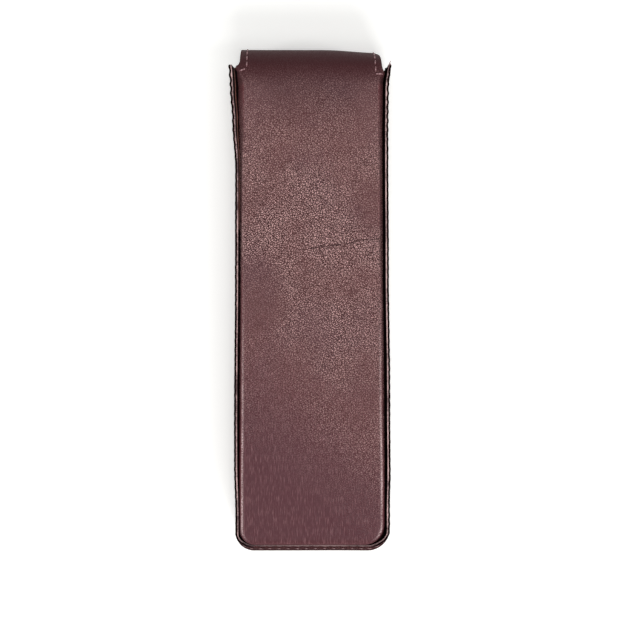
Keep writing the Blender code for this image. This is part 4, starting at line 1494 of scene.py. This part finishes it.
def hinge_seam(line, lift):
    """Places of the stitches along a line on the flat leather, from the crest on."""
    places = []
    runs = [0.0]
    for (ax, a_s), (bx, b_s) in zip(line, line[1:]):
        runs.append(runs[-1] + math.hypot(bx - ax, b_s - a_s))

    def at(run):
        run = min(run, runs[-1])
        index = max(1, sum(1 for mark in runs if mark < run))
        share = (run - runs[index - 1]) / (runs[index] - runs[index - 1])
        near, far = line[index - 1], line[index]
        return [a + (b - a) * share for a, b in zip(near, far)]

    pitch = runs[-1] / round(runs[-1] / HINGE_PITCH)
    for index in range(round(runs[-1] / pitch)):
        run = pitch * (index + 0.5)
        here, ahead = at(run - SEAM_AHEAD), at(run + SEAM_AHEAD)
        middle = at(run)
        point = Vector(lift(*middle, 2 * HAIR))
        out = Vector(lift(*middle, -0.001)) - point
        seam = Vector(lift(*ahead, 0)) - Vector(lift(*here, 0))
        places.append((point, out.normalized(), seam.normalized()))
    return places


# Cut thread ends at the wall's right tip: bend, reach and start of each
THREAD_ENDS = ((0.0005, 0.0017, -0.0007), (-0.0006, 0.0011, -0.0001))
THREAD_END_START = -0.0007
THREAD_END_Z = WALL_TOP_Z - 0.0012
THREAD_END_RISE = 0.0011
THREAD_END_STEPS = 8


def make_thread_ends(thread):
    """Cut ends of the sewing thread that stick out at the wall's right tip."""
    sheet = Sheet()
    for bend, reach, start in THREAD_ENDS:
        rings = []
        for step in range(THREAD_END_STEPS + 1):
            share = step / THREAD_END_STEPS
            x = wall_half(WALL_END_Y, 1) + start + bend * share * share
            y = WALL_END_Y + THREAD_END_START + reach * share
            z = THREAD_END_Z + THREAD_END_RISE * math.sin(math.pi * 0.5 * share)
            radius = THREAD / 2 * (0.75 - 0.35 * share)
            ring = []
            for side in range(THREAD_SIDES):
                turn = 2 * math.pi * side / THREAD_SIDES
                point = (x + radius * math.cos(turn), y, z + radius * math.sin(turn))
                ring.append(sheet.put(point, (0, 0, 0)))
            rings.append(ring)
        sheet.tube(rings)
    ends = sheet.object("thread_ends", [thread])
    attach(ends, "case")


def make_seams(thread):
    """All the sewing: the wall, the back, and both edges of the hinge."""
    make_thread_ends(thread)
    sewing = Sewing(thread)
    outer = sewing.row("wall_stitches", wall_seam(), 11)
    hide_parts("side_seam_thread")
    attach(outer, "case")
    under = sewing.row("back_stitches", back_seam(), 13, 0.05)
    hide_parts("back_seam_thread")
    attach(under, "case")
    for line, word, seed in ((HINGE_SEAM_RIGHT, "right", 21), (HINGE_SEAM_LEFT, "left", 22)):
        upper = sewing.row(f"hinge_stitches_upper_{word}", hinge_seam(line, lift_flap), seed)
        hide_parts(f"hinge_thread_{word}_flap", f"hinge_thread_{word}")
        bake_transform(upper)
        straight = hinge_seam([line[0], (line[0][0], HINGE_SEAM_LOW)], lift_back)
        lower = sewing.row(f"hinge_stitches_lower_{word}", straight, seed + 10)
        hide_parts(f"hinge_thread_{word}_back", f"hinge_thread_{word}")
        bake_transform(lower)
    sewing.done()


# Floor, light and camera
FLOOR_REACH = 3.0
FLOOR_Z = -0.00006
FLOOR_GLOW = 0.32
STUDIO_GLOW = 0.30
CAMERA_SENSOR = 36
CAMERA_LENS = 98.15
CAMERA_PLACE = (-0.00098, -0.00355, 0.573)

# Soft panels: name, place, what it is aimed at, width, height and brightness
SOFTBOXES = (
    ("overhead panel", (0.0, 0.08, 1.2), (0, 0.02, 0), 0.36, 0.36, 6.2),
    ("key panel", (0.22, -0.98, 0.90), (0, 0, 0), 0.7, 0.55, 9.4),
    ("right strip", (1.05, -0.20, 0.85), (0, -0.05, 0), 0.26, 0.55, 7.7),
    ("left strip", (-1.05, -0.19, 0.85), (0, -0.05, 0), 0.26, 0.55, 7.7),
)


def make_floor():
    """White matt table, that keeps the shadow and looks white straight into the lens."""
    material, tree, shader = new_material("matt white table")
    glow = 0.0
    path = add(tree, "ShaderNodeLightPath").outputs
    for ray in ("Is Glossy Ray", "Is Transmission Ray", "Is Camera Ray"):
        glow = {0: path[ray], 1: FLOOR_GLOW, 2: glow}
        glow = add(tree, "ShaderNodeMath", glow, operation="MULTIPLY_ADD")
    fill(tree, shader, {
        "Base Color": "F2F2EF", "Roughness": 0.85,
        "Emission Color": "FFFFFF", "Emission Strength": glow,
    })
    mesh = bpy.data.meshes.new("floor")
    signs = ((-1, -1), (1, -1), (1, 1), (-1, 1))
    corners = [(x * FLOOR_REACH, y * FLOOR_REACH, FLOOR_Z) for x, y in signs]
    mesh.from_pydata(corners, [], [(0, 1, 2, 3)])
    mesh.materials.append(material)
    add_object("floor", mesh)


def make_softbox(name, place, target, width, height, radiance):
    """A soft panel of light that shines this bright all over."""
    light = bpy.data.lights.new(name, "AREA")
    light.shape = "RECTANGLE"
    light.size, light.size_y = width, height
    light.energy = radiance * math.pi * width * height
    holder = add_object(name, light)
    holder.location = place
    aim = Vector(target) - Vector(place)
    holder.rotation_euler = aim.to_track_quat("-Z", "Y").to_euler()


def make_light():
    """Soft panels above, in front and at both sides, in an evenly lit white studio."""
    world = bpy.data.worlds.new("studio")
    bpy.context.scene.world = world
    world.use_nodes = True
    tree = world.node_tree
    fill(tree, tree.nodes["Background"], {"Color": "FFFFFF", "Strength": STUDIO_GLOW})
    for softbox in SOFTBOXES:
        make_softbox(*softbox)


def make_camera():
    """Straight down, as the case was photographed."""
    data = bpy.data.cameras.new("camera")
    data.sensor_width = CAMERA_SENSOR
    data.lens = CAMERA_LENS
    holder = add_object("camera", data)
    holder.location = CAMERA_PLACE
    bpy.context.scene.camera = holder


def main():
    bpy.context.scene.view_settings.view_transform = "Standard"
    leather = calf_leather("grained calf", 0.00026, {
        "brown": "7F4A4A", "purple": "7A4A50", "ends": "4C1D26", "pits": "240709", "tops": "ECBCB8",
    })
    # Darker colours than the flap's: partly its own smoother leather, partly painted shade where the
    # wall shows at the lower end.
    plain_leather = calf_leather("fine grained calf", 0.00007, {
        "brown": "562B2C", "purple": "50282F", "ends": "3C181D", "pits": "2A1013", "tops": "6C4444",
    }, matt=0.42, specular=0.12)
    edge = cut_edge()
    dye_and_shade = dyed_and_shaded_edge()
    suede = pig_suede("brown pig suede", "664034", "3C231D", 0.12)
    rough = pig_suede("raw flesh side", "8A5548", "2A1210", 0.05)
    thread = waxed_thread()
    board = grey_board()
    nickel = nickel_plate()
    make_flap(leather)
    make_back(leather)
    make_wall(plain_leather, edge, dye_and_shade)
    make_tray(plain_leather, rough, dye_and_shade)
    make_linings(suede)
    make_layers(suede, board)
    make_wall_lining(suede)
    make_divider(suede)
    make_seams(thread)
    wear("back_board", board)
    for side in ("left", "right"):
        wear(f"pocket_magnet_{side}", nickel)
        wear(f"flap_magnet_{side}", nickel)
    make_floor()
    make_light()
    make_camera()


main()
